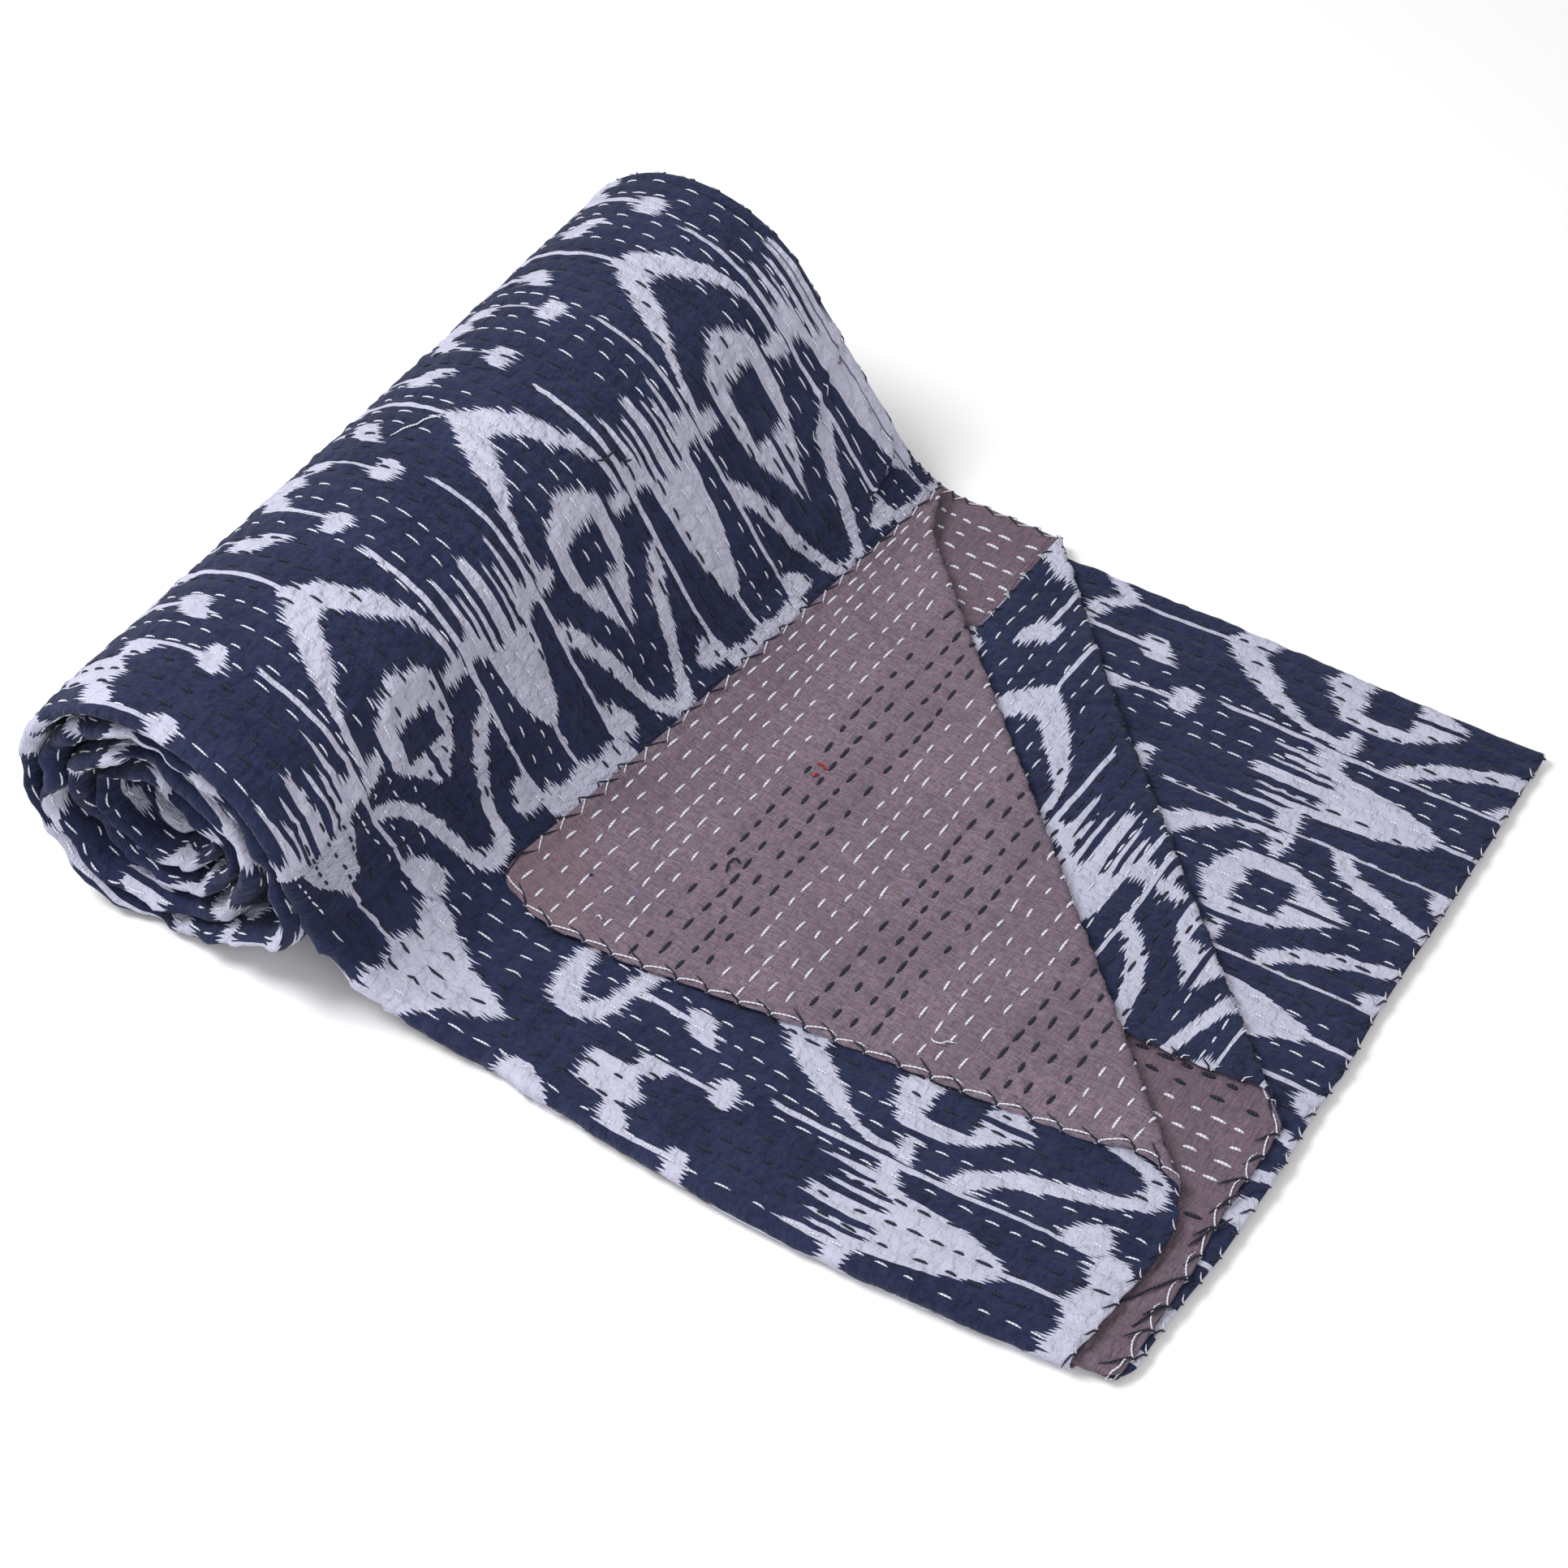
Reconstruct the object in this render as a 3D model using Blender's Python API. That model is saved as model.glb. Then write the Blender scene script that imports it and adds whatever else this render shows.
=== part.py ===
"""A kantha quilt, folded lengthwise in four, rolled up from one end, its other end lying loose.

Metres, +Z up. The roll lies along X at +Y, and the loose end runs down its front to -Y. The origin is
the middle of the base. Two corners of the loose end are turned back over the layers under them.

Each cloth is cut flat, as a thin slab in its own coordinates (u across the quilt, s along it, w up from
its middle), and is then carried through three steps: the turned corner, the lengthwise folds, and the
path that the folded packet takes along the floor, up the slope and round the roll.
"""

import math

import bmesh
import bpy
import numpy as np

# Driving dimensions of the folded strip
STRIP_FAR_X = 0.288
STRIP_NEAR_X = -0.282
END_Y = -0.3672
FACE = 0.0010
BACKING = 0.0010
SEAM_GAP = 0.0004
CLOTH = FACE + SEAM_GAP + BACKING
LAYER_PITCH = 0.0029
STACK = 3 * LAYER_PITCH + CLOTH

# The roll. A row is one end of it, with its half sizes where the packet leaves the roll.
ROLL_ENDS = {
    "near": {
        "centre_y": 0.2668,
        "half_width": 0.1045,
        "half_height": 0.0960,
        "leave": math.radians(12),
        "flare_up": 0.075,
        "flare_out": 0.100,
    },
    "far": {
        "centre_y": 0.2694,
        "half_width": 0.1030,
        "half_height": 0.1030,
        "leave": math.radians(33),
        "flare_up": 0.032,
        "flare_out": 0.038,
    },
}
TURN_PITCH = 0.0135
TURNS = 6.0
FLAT_SPOT_DEPTH = 0.0014
ROLL_NEAR_X = -0.2975
ROLL_EYE_RECESS = 0.016
NEAR_EDGE_WAVE = 0.0035
NEAR_EDGE_WAVES_PER_TURN = 1.7
NEAR_EDGE_WAVE_START = 0.6
NODE_GAP = 0.0007
NODE_GAP_TURN = 0.0007

# Corners turned back. A row is one layer's fold line, from the end of the quilt to its far edge.
TURNED_CORNERS = {
    "first": {"end_x": -0.1565, "end_s": 0.029, "far_s": 0.468},
    "second": {"end_x": -0.0650, "end_s": 0.018, "far_s": 0.356},
}
TURN_RADIUS = LAYER_PITCH / 2
CORNER_ROUND = 0.020
CORNER_STEPS = 4
CORNER_SEARCH = 0.12
RIDE_END_S = 0.500
FIRST_CORNER_INSET = 0.010
SECOND_CORNER_INSET = 0.012

# How far the quilt's end lies back from END_Y: distance across the cloth from its first hem, inset
END_INSETS = [
    {"u": 0.000, "inset": FIRST_CORNER_INSET},
    {"u": 0.445, "inset": 0.029},
    {"u": 0.505, "inset": 0.020},
    {"u": 0.571, "inset": 0.026},
    {"u": 0.590, "inset": 0.020},
    {"u": 1.140, "inset": 0.000},
    {"u": 1.720, "inset": 0.002},
    {"u": 1.830, "inset": -0.005},
    {"u": 1.950, "inset": 0.012},
    {"u": 2.290, "inset": SECOND_CORNER_INSET},
]

# Unevenness of the long edges
INNER_FOLD_SETBACK = 0.001
NEAR_BOW = 0.014
NEAR_BOW_LENGTH = 0.41
NEAR_DRIFT_WIDTH = 0.18
FIRST_HEM_OVERHANG = 0.003
SECOND_HEM_OVERHANG = 0.010
OVERHANG_WIDTH = 0.10

# How finely each stretch is divided
FLAT_STEPS = 8
FLARE_STEPS = 8
SLOPE_STEPS = 2
FOLD_STEPS = 4
OUTER_TURN_STEPS = 30
INNER_TURN_STEPS = 20
COARSE_COLUMNS = 3
TOP_COLUMNS = 6
OUTER_TURNS = 1.5
PATH_SAMPLES = 361
NORMAL_STEP = 0.001
TINY = 1e-6
ROUNDING = 1e-9

COLOURS = {
    "roll": (0.075, 0.090, 0.190),
    "loose_face": (0.110, 0.130, 0.240),
    "loose_backing": (0.300, 0.205, 0.215),
}


# ---------------------------------------------------------------- the packet's path
def centre_height(end):
    """The height of the roll's middle that lets its lowest turn sink by the flat spot's depth."""
    shrink = TURN_PITCH * (1.5 * math.pi - end["leave"]) / math.tau
    return end["half_height"] - shrink - FLAT_SPOT_DEPTH


def spiral_point(end, angle, inset):
    """A point of the roll, at an angle that starts at the front and goes over the top."""
    shrink = TURN_PITCH * (angle - end["leave"]) / math.tau + inset
    y = end["centre_y"] - (end["half_width"] - shrink) * math.cos(angle)
    z = centre_height(end) + (end["half_height"] - shrink) * math.sin(angle)
    return np.array((y, z))


def loose_corner(end):
    """Where the slope's straight line would meet the floor, and the line's direction up the slope."""
    leave = spiral_point(end, end["leave"], STACK)
    step = spiral_point(end, end["leave"] + NORMAL_STEP, STACK) - leave
    upward = step / np.linalg.norm(step)
    corner = leave - upward * leave[1] / upward[1]
    return corner, upward


def path_point(end, q):
    """A point under the packet: q is 0-1 on the floor, 1-2 in the flare, 2-3 up the slope, then turns."""
    corner, upward = loose_corner(end)
    landing = corner - np.array((end["flare_out"], 0.0))
    lift_off = corner + end["flare_up"] * upward
    if q <= 1:
        return np.array((END_Y + (landing[0] - END_Y) * q, 0.0))
    if q <= 2:
        t = q - 1
        return landing * (1 - t) ** 2 + corner * 2 * t * (1 - t) + lift_off * t**2
    if q <= 3:
        return lift_off + (spiral_point(end, end["leave"], STACK) - lift_off) * (q - 2)
    return spiral_point(end, end["leave"] + (q - 3) * math.tau, STACK)


def path_normal(end, q):
    """The packet's upward or outward direction at q."""
    step = path_point(end, q + NORMAL_STEP) - path_point(end, q - NORMAL_STEP)
    return np.array((-step[1], step[0])) / np.linalg.norm(step)


def make_path():
    """Samples of the loose stretch at both ends of the roll, with the normals, against its length s."""
    q = np.linspace(0, 3, PATH_SAMPLES)
    path = {"q": q}
    lengths = []
    for name, end in ROLL_ENDS.items():
        points = np.array([path_point(end, value) for value in q])
        path[name] = points
        path[name + "_normal"] = np.array([path_normal(end, value) for value in q])
        lengths.append(np.append(0.0, np.cumsum(np.linalg.norm(np.diff(points, axis=0), axis=1))))
    path["s"] = np.mean(lengths, axis=0)
    return path


def length_at(path, q):
    return float(np.interp(q, path["q"], path["s"]))


def place(path, x, s, lift):
    """World points for points of the folded packet: x across, s along it, lift above its underside."""
    share = np.clip((x - STRIP_NEAR_X) / (STRIP_FAR_X - STRIP_NEAR_X), 0, 1)
    found = np.zeros((len(x), 3))
    found[:, 0] = x
    for name, weight in (("near", 1 - share), ("far", share)):
        for axis in (0, 1):
            point = np.interp(s, path["s"], path[name][:, axis])
            normal = np.interp(s, path["s"], path[name + "_normal"][:, axis])
            found[:, axis + 1] += weight * (point + normal * lift)
    return found


def smooth(t):
    t = np.clip(t, 0, 1)
    return t * t * (3 - 2 * t)


# ---------------------------------------------------------------- the lengthwise folds
OUTER_RADIUS = 1.5 * LAYER_PITCH
INNER_RADIUS = 0.5 * LAYER_PITCH
OUTER_FOLD_X = STRIP_NEAR_X + OUTER_RADIUS + CLOTH / 2
INNER_FOLD_X = OUTER_FOLD_X + INNER_FOLD_SETBACK
FAR_FOLD_X = STRIP_FAR_X - INNER_RADIUS - CLOTH / 2


def fold_rows():
    """The quilt's section from hem to hem: each row a flat layer or a half-round fold, in order of u.

    kind, length, x where it starts, direction along x, height of its middle (the first one's for a
    fold), radius, and face: +1 where the printed side is up, or lies outside the fold.
    """
    top = 3 * LAYER_PITCH
    return [
        ("layer", STRIP_FAR_X - OUTER_FOLD_X, STRIP_FAR_X, -1, top, 0, 1),
        ("fold", math.pi * OUTER_RADIUS, OUTER_FOLD_X, -1, top, -OUTER_RADIUS, 1),
        ("layer", FAR_FOLD_X - OUTER_FOLD_X, OUTER_FOLD_X, 1, 0, 0, -1),
        ("fold", math.pi * INNER_RADIUS, FAR_FOLD_X, 1, 0, INNER_RADIUS, 1),
        ("layer", FAR_FOLD_X - INNER_FOLD_X, FAR_FOLD_X, -1, LAYER_PITCH, 0, 1),
        ("fold", math.pi * INNER_RADIUS, INNER_FOLD_X, -1, LAYER_PITCH, INNER_RADIUS, -1),
        ("layer", STRIP_FAR_X - INNER_FOLD_X, INNER_FOLD_X, 1, 2 * LAYER_PITCH, 0, -1),
    ]


def row_starts():
    """The u at which each row of the section starts, and the whole width."""
    return np.append(0.0, np.cumsum([row[1] for row in fold_rows()]))


def fold_section(u, w):
    """x and the height of the cloth's middle and of the point itself, for points u, w of the cloth."""
    x = np.zeros_like(u)
    middle = np.zeros_like(u)
    height = np.zeros_like(u)
    starts = row_starts()
    for index, (kind, length, start_x, way, level, radius, face) in enumerate(fold_rows()):
        last = index == len(starts) - 2
        here = (u >= starts[index] - ROUNDING) & ((u < starts[index + 1] - ROUNDING) | last)
        along = u[here] - starts[index]
        if kind == "layer":
            x[here] = start_x + way * along
            middle[here] = level
            height[here] = level + face * w[here]
            continue
        angle = along / abs(radius)
        reach = abs(radius) + face * w[here]
        x[here] = start_x + way * reach * np.sin(angle)
        middle[here] = level + radius * (1 - np.cos(angle))
        height[here] = level + radius - math.copysign(1, radius) * reach * np.cos(angle)
    return x, middle + CLOTH / 2, height + CLOTH / 2


# ---------------------------------------------------------------- the turned corners
def fold_line(corner):
    """The fold line's start, its direction, and the unit normal that points to the turned corner."""
    start = np.array((corner["end_x"], corner["end_s"]))
    run = np.array((STRIP_FAR_X, corner["far_s"])) - start
    run /= np.linalg.norm(run)
    return start, run, np.array((run[1], -run[0]))


def beyond(corner, x, s):
    """Signed distance past a fold line, positive on the side of the turned corner."""
    start, _, normal = fold_line(corner)
    return (x - start[0]) * normal[0] + (s - start[1]) * normal[1]


def hem_overhang(path, u, x, s):
    """How far the two hemmed layers reach past the folded edge under them, fading up the slope."""
    starts = row_starts()
    reach = length_at(path, 3)
    most = np.where(u < starts[1], FIRST_HEM_OVERHANG, np.where(u > starts[6], SECOND_HEM_OVERHANG, 0))
    across = np.clip(1 - (STRIP_FAR_X - x) / OVERHANG_WIDTH, 0, 1)
    return most * across * np.clip((reach - s) / (reach - RIDE_END_S), 0, 1)


def near_drift(path, x, s):
    """How far the near edge strays: it bows out on the floor and widens towards the roll."""
    reach = length_at(path, 3)
    bow = NEAR_BOW * np.sin(np.clip(s / NEAR_BOW_LENGTH, 0, 1) * math.pi)
    widen = (STRIP_NEAR_X - ROLL_NEAR_X) * smooth((s - NEAR_BOW_LENGTH) / (reach - NEAR_BOW_LENGTH))
    across = np.clip(1 - (x - STRIP_NEAR_X) / NEAR_DRIFT_WIDTH, 0, 1)
    return -(bow + widen) * across


def first_layer_ride(path, s):
    """How far the top layer rides up to leave room for the corner that is tucked under it."""
    reach = length_at(path, 3)
    return LAYER_PITCH * np.clip((reach - s) / (reach - RIDE_END_S), 0, 1)


def turn_corner(corner, x, s, up):
    """Carries points past the fold line round it and back; returns x, s and the height over the layer."""
    _, _, normal = fold_line(corner)
    past = beyond(corner, x, s)
    angle = np.clip(past / TURN_RADIUS, 0, math.pi)
    bent = (TURN_RADIUS - up) * np.sin(angle)
    flat_run = np.maximum(past - math.pi * TURN_RADIUS, 0)
    new_past = np.where(past > 0, bent - flat_run, past)
    shift = new_past - past
    rise = np.where(past > 0, TURN_RADIUS - (TURN_RADIUS - up) * np.cos(angle), up)
    return x + shift * normal[0], s + shift * normal[1], rise


def loose_point(path, u, s, w):
    """The folded, corner-turned position of points of the loose cloth: x, s and lift."""
    starts = row_starts()
    flat_x, middle, height = fold_section(u, w)
    lift = height.copy()
    new_x, new_s = flat_x.copy(), s.copy()
    first = u < starts[1]
    second = u > starts[6]
    for part, corner, up in (
        (first, TURNED_CORNERS["first"], w),
        (second, TURNED_CORNERS["second"], -w),
    ):
        new_x[part], new_s[part], rise = turn_corner(corner, flat_x[part], s[part], up[part])
        lift[part] = middle[part] + rise
    new_x += hem_overhang(path, u, new_x, new_s)
    share = np.clip((middle - CLOTH / 2) / (3 * LAYER_PITCH), 0, 1)
    ride = np.where(u < starts[2], first_layer_ride(path, new_s) * share, 0)
    return new_x + near_drift(path, new_x, new_s), new_s, lift + ride


def end_inset(u):
    """How far the end of the cloth lies back at u."""
    return np.interp(u, [row["u"] for row in END_INSETS], [row["inset"] for row in END_INSETS])


# ---------------------------------------------------------------- cutting the cloth
def cut(bm, faces, point, normal, trim=False):
    """Scores the given faces along a straight line of the flat cloth, or trims them along it."""
    edges = {edge for face in faces for edge in face.edges}
    verts = {vert for face in faces for vert in face.verts}
    bmesh.ops.bisect_plane(
        bm, geom=[*faces, *edges, *verts], dist=TINY, plane_co=point, plane_no=normal, clear_outer=trim
    )


def faces_between(bm, low, high):
    return [f for f in bm.faces if low - TINY <= f.calc_center_median().x <= high + TINY]


def section_stations():
    """Values of u at which the cloth is divided."""
    starts = row_starts()
    columns = [TOP_COLUMNS, FOLD_STEPS + 2, COARSE_COLUMNS, FOLD_STEPS, COARSE_COLUMNS, FOLD_STEPS, TOP_COLUMNS]
    stations = [np.linspace(starts[i], starts[i + 1], n, endpoint=False) for i, n in enumerate(columns)]
    return np.concatenate(stations)[1:]


def path_stations(path):
    """Values of s at which the loose end is divided."""
    q = np.concatenate([
        np.linspace(0, 1, FLAT_STEPS, endpoint=False),
        np.linspace(1, 2, FLARE_STEPS, endpoint=False),
        np.linspace(2, 3, SLOPE_STEPS, endpoint=False),
    ])
    return sorted([length_at(path, value) for value in q[1:]] + [RIDE_END_S])


def score_turns(bm):
    """Scores the top layer and the third one under it along their turned corners."""
    starts = row_starts()
    for name, low, high, way in (("first", starts[0], starts[1], -1), ("second", starts[6], starts[7], 1)):
        start, _, normal = fold_line(TURNED_CORNERS[name])
        first_x = STRIP_FAR_X if way == -1 else INNER_FOLD_X
        for step in range(FOLD_STEPS + 1):
            offset = math.pi * TURN_RADIUS * step / FOLD_STEPS
            x = start[0] + normal[0] * offset
            s = start[1] + normal[1] * offset
            point = (low + way * (x - first_x), s, 0.0)
            cut(bm, faces_between(bm, low, high), point, (way * normal[0], normal[1], 0.0))


def flat_cloth(path):
    """The quilt's loose stretch as one flat sheet in u and s, divided where it will bend."""
    width = row_starts()[-1]
    reach = length_at(path, 3) - NODE_GAP
    bm = bmesh.new()
    bmesh.ops.create_grid(bm, x_segments=1, y_segments=1, size=0.5)
    for vert in bm.verts:
        vert.co = ((vert.co.x + 0.5) * width, (vert.co.y + 0.5) * reach, 0)
    for u in section_stations():
        cut(bm, bm.faces[:], (u, 0, 0), (1, 0, 0))
    for s in path_stations(path):
        cut(bm, bm.faces[:], (0, s, 0), (0, 1, 0))
    for vert in bm.verts:
        inset = float(end_inset(np.array([vert.co.x]))[0])
        vert.co.y = inset + vert.co.y * (reach - inset) / reach
    score_turns(bm)
    round_corners(bm, width)
    bmesh.ops.triangulate(bm, faces=bm.faces[:])
    return bm


def round_corners(bm, width):
    """Trims the two hem corners, each at its own end of the cloth."""
    for side, edge, inset in ((1, 0.0, FIRST_CORNER_INSET), (-1, width, SECOND_CORNER_INSET)):
        for step in range(1, CORNER_STEPS):
            turn = math.pi / 2 * step / CORNER_STEPS
            normal = (-side * math.cos(turn), -math.sin(turn), 0.0)
            centre = (edge + side * CORNER_ROUND, inset + CORNER_ROUND, 0.0)
            point = [centre[i] + normal[i] * CORNER_ROUND for i in range(3)]
            near = faces_between(bm, edge - CORNER_SEARCH, edge + CORNER_SEARCH)
            near = [f for f in near if f.calc_center_median().y < CORNER_SEARCH]
            cut(bm, near, point, normal, trim=True)


def loose_cloth(name, path, low, high):
    """One cloth of the loose end, from w low to w high, as a closed solid."""
    bm = flat_cloth(path)
    sheet = bm.faces[:]
    for vert in bm.verts:
        vert.co.z = low
    top = bmesh.ops.extrude_face_region(bm, geom=sheet)
    for item in top["geom"]:
        if isinstance(item, bmesh.types.BMVert):
            item.co.z = high
    bmesh.ops.recalc_face_normals(bm, faces=bm.faces[:])
    verts = bm.verts[:]
    flat = np.array([vert.co[:] for vert in verts])
    x, s, lift = loose_point(path, flat[:, 0], flat[:, 1], flat[:, 2])
    for vert, point in zip(verts, place(path, x, s, lift)):
        vert.co = point
    bmesh.ops.reverse_faces(bm, faces=bm.faces[:])
    return new_object(name, bm)


# ---------------------------------------------------------------- the roll
def packet_section(near_x):
    """The wound packet's outline, (x, lift): square at the hems, round at the folded edge."""
    half = STACK / 2
    outline = [(STRIP_FAR_X, 0.0), (STRIP_FAR_X, STACK)]
    for step in range(FOLD_STEPS + 1):
        angle = math.pi / 2 + math.pi * step / FOLD_STEPS
        outline.append((near_x + half + half * math.cos(angle), half + half * math.sin(angle)))
    return outline


def roll_near_x(turn):
    """The near edge of the wound packet: uneven, and drawn in towards the eye."""
    recess = ROLL_EYE_RECESS * (turn / TURNS) ** 2
    wave = 1 + math.sin(NEAR_EDGE_WAVES_PER_TURN * turn * math.tau + NEAR_EDGE_WAVE_START)
    return ROLL_NEAR_X + NEAR_EDGE_WAVE * wave / 2 + recess


def wound_packet(name):
    """The four layers, wound as one packet from where they leave the roll to its eye."""
    bm = bmesh.new()
    rings = []
    turn = NODE_GAP_TURN
    while turn < TURNS + TINY:
        rings.append(wound_ring(bm, turn))
        turn += 1 / (OUTER_TURN_STEPS if turn < OUTER_TURNS else INNER_TURN_STEPS)
    for before, after in zip(rings, rings[1:]):
        for index in range(len(before)):
            following = (index + 1) % len(before)
            bm.faces.new((before[index], before[following], after[following], after[index]))
    bm.faces.new(rings[0])
    bm.faces.new(rings[-1])
    bmesh.ops.triangulate(bm, faces=bm.faces[:])
    bmesh.ops.recalc_face_normals(bm, faces=bm.faces[:])
    return new_object(name, bm)


def wound_ring(bm, turn):
    """The packet's outline at one angle of the roll, flattened where it rests on the floor."""
    ring = []
    for x, lift in packet_section(roll_near_x(turn)):
        share = min(max((x - STRIP_NEAR_X) / (STRIP_FAR_X - STRIP_NEAR_X), 0), 1)
        y, z = 0.0, 0.0
        for name, weight in (("near", 1 - share), ("far", share)):
            point = path_point(ROLL_ENDS[name], 3 + turn) + lift * path_normal(ROLL_ENDS[name], 3 + turn)
            y += weight * point[0]
            z += weight * point[1]
        ring.append(bm.verts.new((x, y, max(z, 0.0))))
    return ring


# ---------------------------------------------------------------- objects
def material(name, colour):
    """Soft washed cotton."""
    made = bpy.data.materials.new(name)
    made.use_nodes = True
    shader = made.node_tree.nodes["Principled BSDF"]
    shader.inputs["Base Color"].default_value = (*colour, 1)
    shader.inputs["Roughness"].default_value = 0.9
    shader.inputs["Metallic"].default_value = 0.0
    return made


def new_object(name, bm):
    mesh = bpy.data.meshes.new(name)
    bm.to_mesh(mesh)
    bm.free()
    made = bpy.data.objects.new(name, mesh)
    made.data.materials.append(material(name, COLOURS[name]))
    return made


def main():
    for old in list(bpy.data.objects):
        bpy.data.objects.remove(old, do_unlink=True)
    quilt = bpy.data.collections.new("kantha_quilt")
    bpy.context.scene.collection.children.link(quilt)
    path = make_path()
    half = CLOTH / 2
    quilt.objects.link(loose_cloth("loose_face", path, half - FACE, half))
    quilt.objects.link(loose_cloth("loose_backing", path, -half, -half + BACKING))
    quilt.objects.link(wound_packet("roll"))


main()
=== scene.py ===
"""A kantha quilt, folded lengthwise in four, rolled up from one end, its other end lying loose.

Every cloth is drawn flat, in u across the quilt from its first hem, s along it from its loose end and w up
from the middle of its thickness. It is then turned at the corners, folded lengthwise, and carried along the
floor, up the slope and round the roll, so that the quilting, the print and the hems stay with the cloth.
"""

import math

import bpy
import numpy as np
from mathutils import Matrix, Vector


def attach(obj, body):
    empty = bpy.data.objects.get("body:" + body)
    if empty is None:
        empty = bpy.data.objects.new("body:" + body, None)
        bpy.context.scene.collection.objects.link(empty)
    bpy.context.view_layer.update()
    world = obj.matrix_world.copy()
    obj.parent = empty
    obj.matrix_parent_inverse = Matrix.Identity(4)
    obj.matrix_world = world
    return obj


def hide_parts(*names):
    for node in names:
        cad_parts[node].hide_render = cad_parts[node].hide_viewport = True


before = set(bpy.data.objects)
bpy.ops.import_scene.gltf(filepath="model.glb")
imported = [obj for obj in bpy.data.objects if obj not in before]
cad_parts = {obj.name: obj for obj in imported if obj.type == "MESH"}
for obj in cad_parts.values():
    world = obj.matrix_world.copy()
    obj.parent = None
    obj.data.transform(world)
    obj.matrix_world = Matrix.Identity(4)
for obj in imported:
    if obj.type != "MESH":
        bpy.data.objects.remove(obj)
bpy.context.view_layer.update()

TAU = math.tau


def metres(rows):
    """A table in millimetres as an array in metres."""
    return np.array(rows) / 1000


# ---- the folded strip, as in the solid model
STRIP_FAR_X = 0.288
STRIP_NEAR_X = -0.282
END_Y = -0.3672
CLOTH = 0.0024
LAYER_PITCH = 0.0029
STACK = 3 * LAYER_PITCH + CLOTH
ROLL_ENDS = {
    "near": {
        "centre_y": 0.2668, "half_width": 0.1045, "half_height": 0.096, "leave": math.radians(12),
        "flare_up": 0.075, "flare_out": 0.1,
    },
    "far": {
        "centre_y": 0.2694, "half_width": 0.103, "half_height": 0.103, "leave": math.radians(33),
        "flare_up": 0.032, "flare_out": 0.038,
    },
}
TURN_PITCH = 0.0135
TURNS = 6.0
FLAT_SPOT_DEPTH = 0.0014
ROLL_NEAR_X = -0.2975
TURNED_CORNERS = {
    "first": {"end_x": -0.1565, "end_s": 0.029, "far_s": 0.468, "radius": 0.0028, "ease": 1.045},
    "second": {"end_x": -0.065, "end_s": 0.018, "far_s": 0.356, "radius": 0.0022, "ease": 0.96},
}
REST_RADIUS = LAYER_PITCH / 2
LOWEST = 0.0004
CORNER_ROUND = 0.02
RIDE_END_S = 0.5
# How far the loose end's hem lies in from the end, in millimetres: u, inset
END_INSETS = metres([
    (0, 9), (18, 9.2), (30, 5), (44, 2), (88, 4.5), (120, 9.5), (150, 11.5), (197, 17.7), (240, 22.5),
    (286, 25.2), (335, 28.7), (380, 30.5), (397, 36.5), (411, 36.2), (428, 31), (437, 28.5), (445, 29.2),
    (456, 22), (472, 19.2), (492, 19.2), (515, 21.4), (538, 22.6), (571, 25.8), (590, 20), (1140, 0),
    (1400, -4), (1463, -6.8), (1530, -8.4), (1610, -8.8), (1649, -5.3), (1695, -4), (1707, 0),
    (1722, -0.2), (1795, -0.2), (1823, 2.4), (1856, 3.2), (1877, 2.6), (1913, 4), (1921, 12.5),
    (1931, 18.5), (1960, 12.9), (1991, 8.6), (2025, 6), (2060, 5), (2110, 9), (2290, 12),
])
NEAR_BOW = 0.014
NEAR_BOW_LENGTH = 0.41
NEAR_DRIFT_WIDTH = 0.18
FIRST_HEM_OVERHANG = 0.003
SECOND_HEM_OVERHANG = 0.01
OVERHANG_WIDTH = 0.1
OUTER_RADIUS = 1.5 * LAYER_PITCH
INNER_RADIUS = 0.5 * LAYER_PITCH
OUTER_FOLD_X = STRIP_NEAR_X + OUTER_RADIUS + CLOTH / 2
INNER_FOLD_X = OUTER_FOLD_X + 0.001
FAR_FOLD_X = STRIP_FAR_X - INNER_RADIUS - CLOTH / 2
NORMAL_STEP = 0.001
# How far in the packet's outer side lies at the near end, where it is wound loosely round a flat eye:
# turns, inset across, inset upright
NEAR_WINDING = np.array([
    (-1, -0.0135, -0.0135), (0, 0, 0), (1, 0.0135, 0.0135), (1.5, 0.0215, 0.0215), (2, 0.03, 0.0305),
    (3, 0.047, 0.049), (4, 0.063, 0.066), (5, 0.0775, 0.08), (6, 0.089, 0.088), (7.5, 0.096, 0.092),
])
# How far in from the near edge each turn lies: turns, recess
NEAR_RECESS = [(0.0, 0.0), (1.0, 0.001), (2.0, 0.004), (3.0, 0.007), (3.8, 0.011), (4.5, 0.028), (6.0, 0.042)]
# Where the second turn sags (or is pulled in) as it comes up in front: turn, width, depth
NEAR_SAGS = [(0.905, 0.045, 0.018), (0.79, 0.07, -0.005)]

# ---- the quilting
ROW_START = 0.011
MARK_PITCH = 0.01344
HEM_FOLD = 0.0088
HEM_ROUND = 0.0012
# Lowest that a pucker goes, so that one cloth doesn't show through the other
DEEPEST = -0.0009
PRINT_PUCKER = 1.15
BACKING_PULL = 0.0012
BACKING_SPREAD = 3.0
ROW_PITCH = 0.01345
STITCH_PITCH = 0.0175
STITCH_SHARE = 0.54
STITCH_MIDDLE = {1: 0.25, -1: 0.75}
FIRST_BAND_ROWS = 6
BAND_ROWS = 4
LAST_BAND_ROWS = 8
LAST_ROW = 168
NEAR_FOLD_ROW = 40
WHIP_PITCH = 0.02
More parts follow.
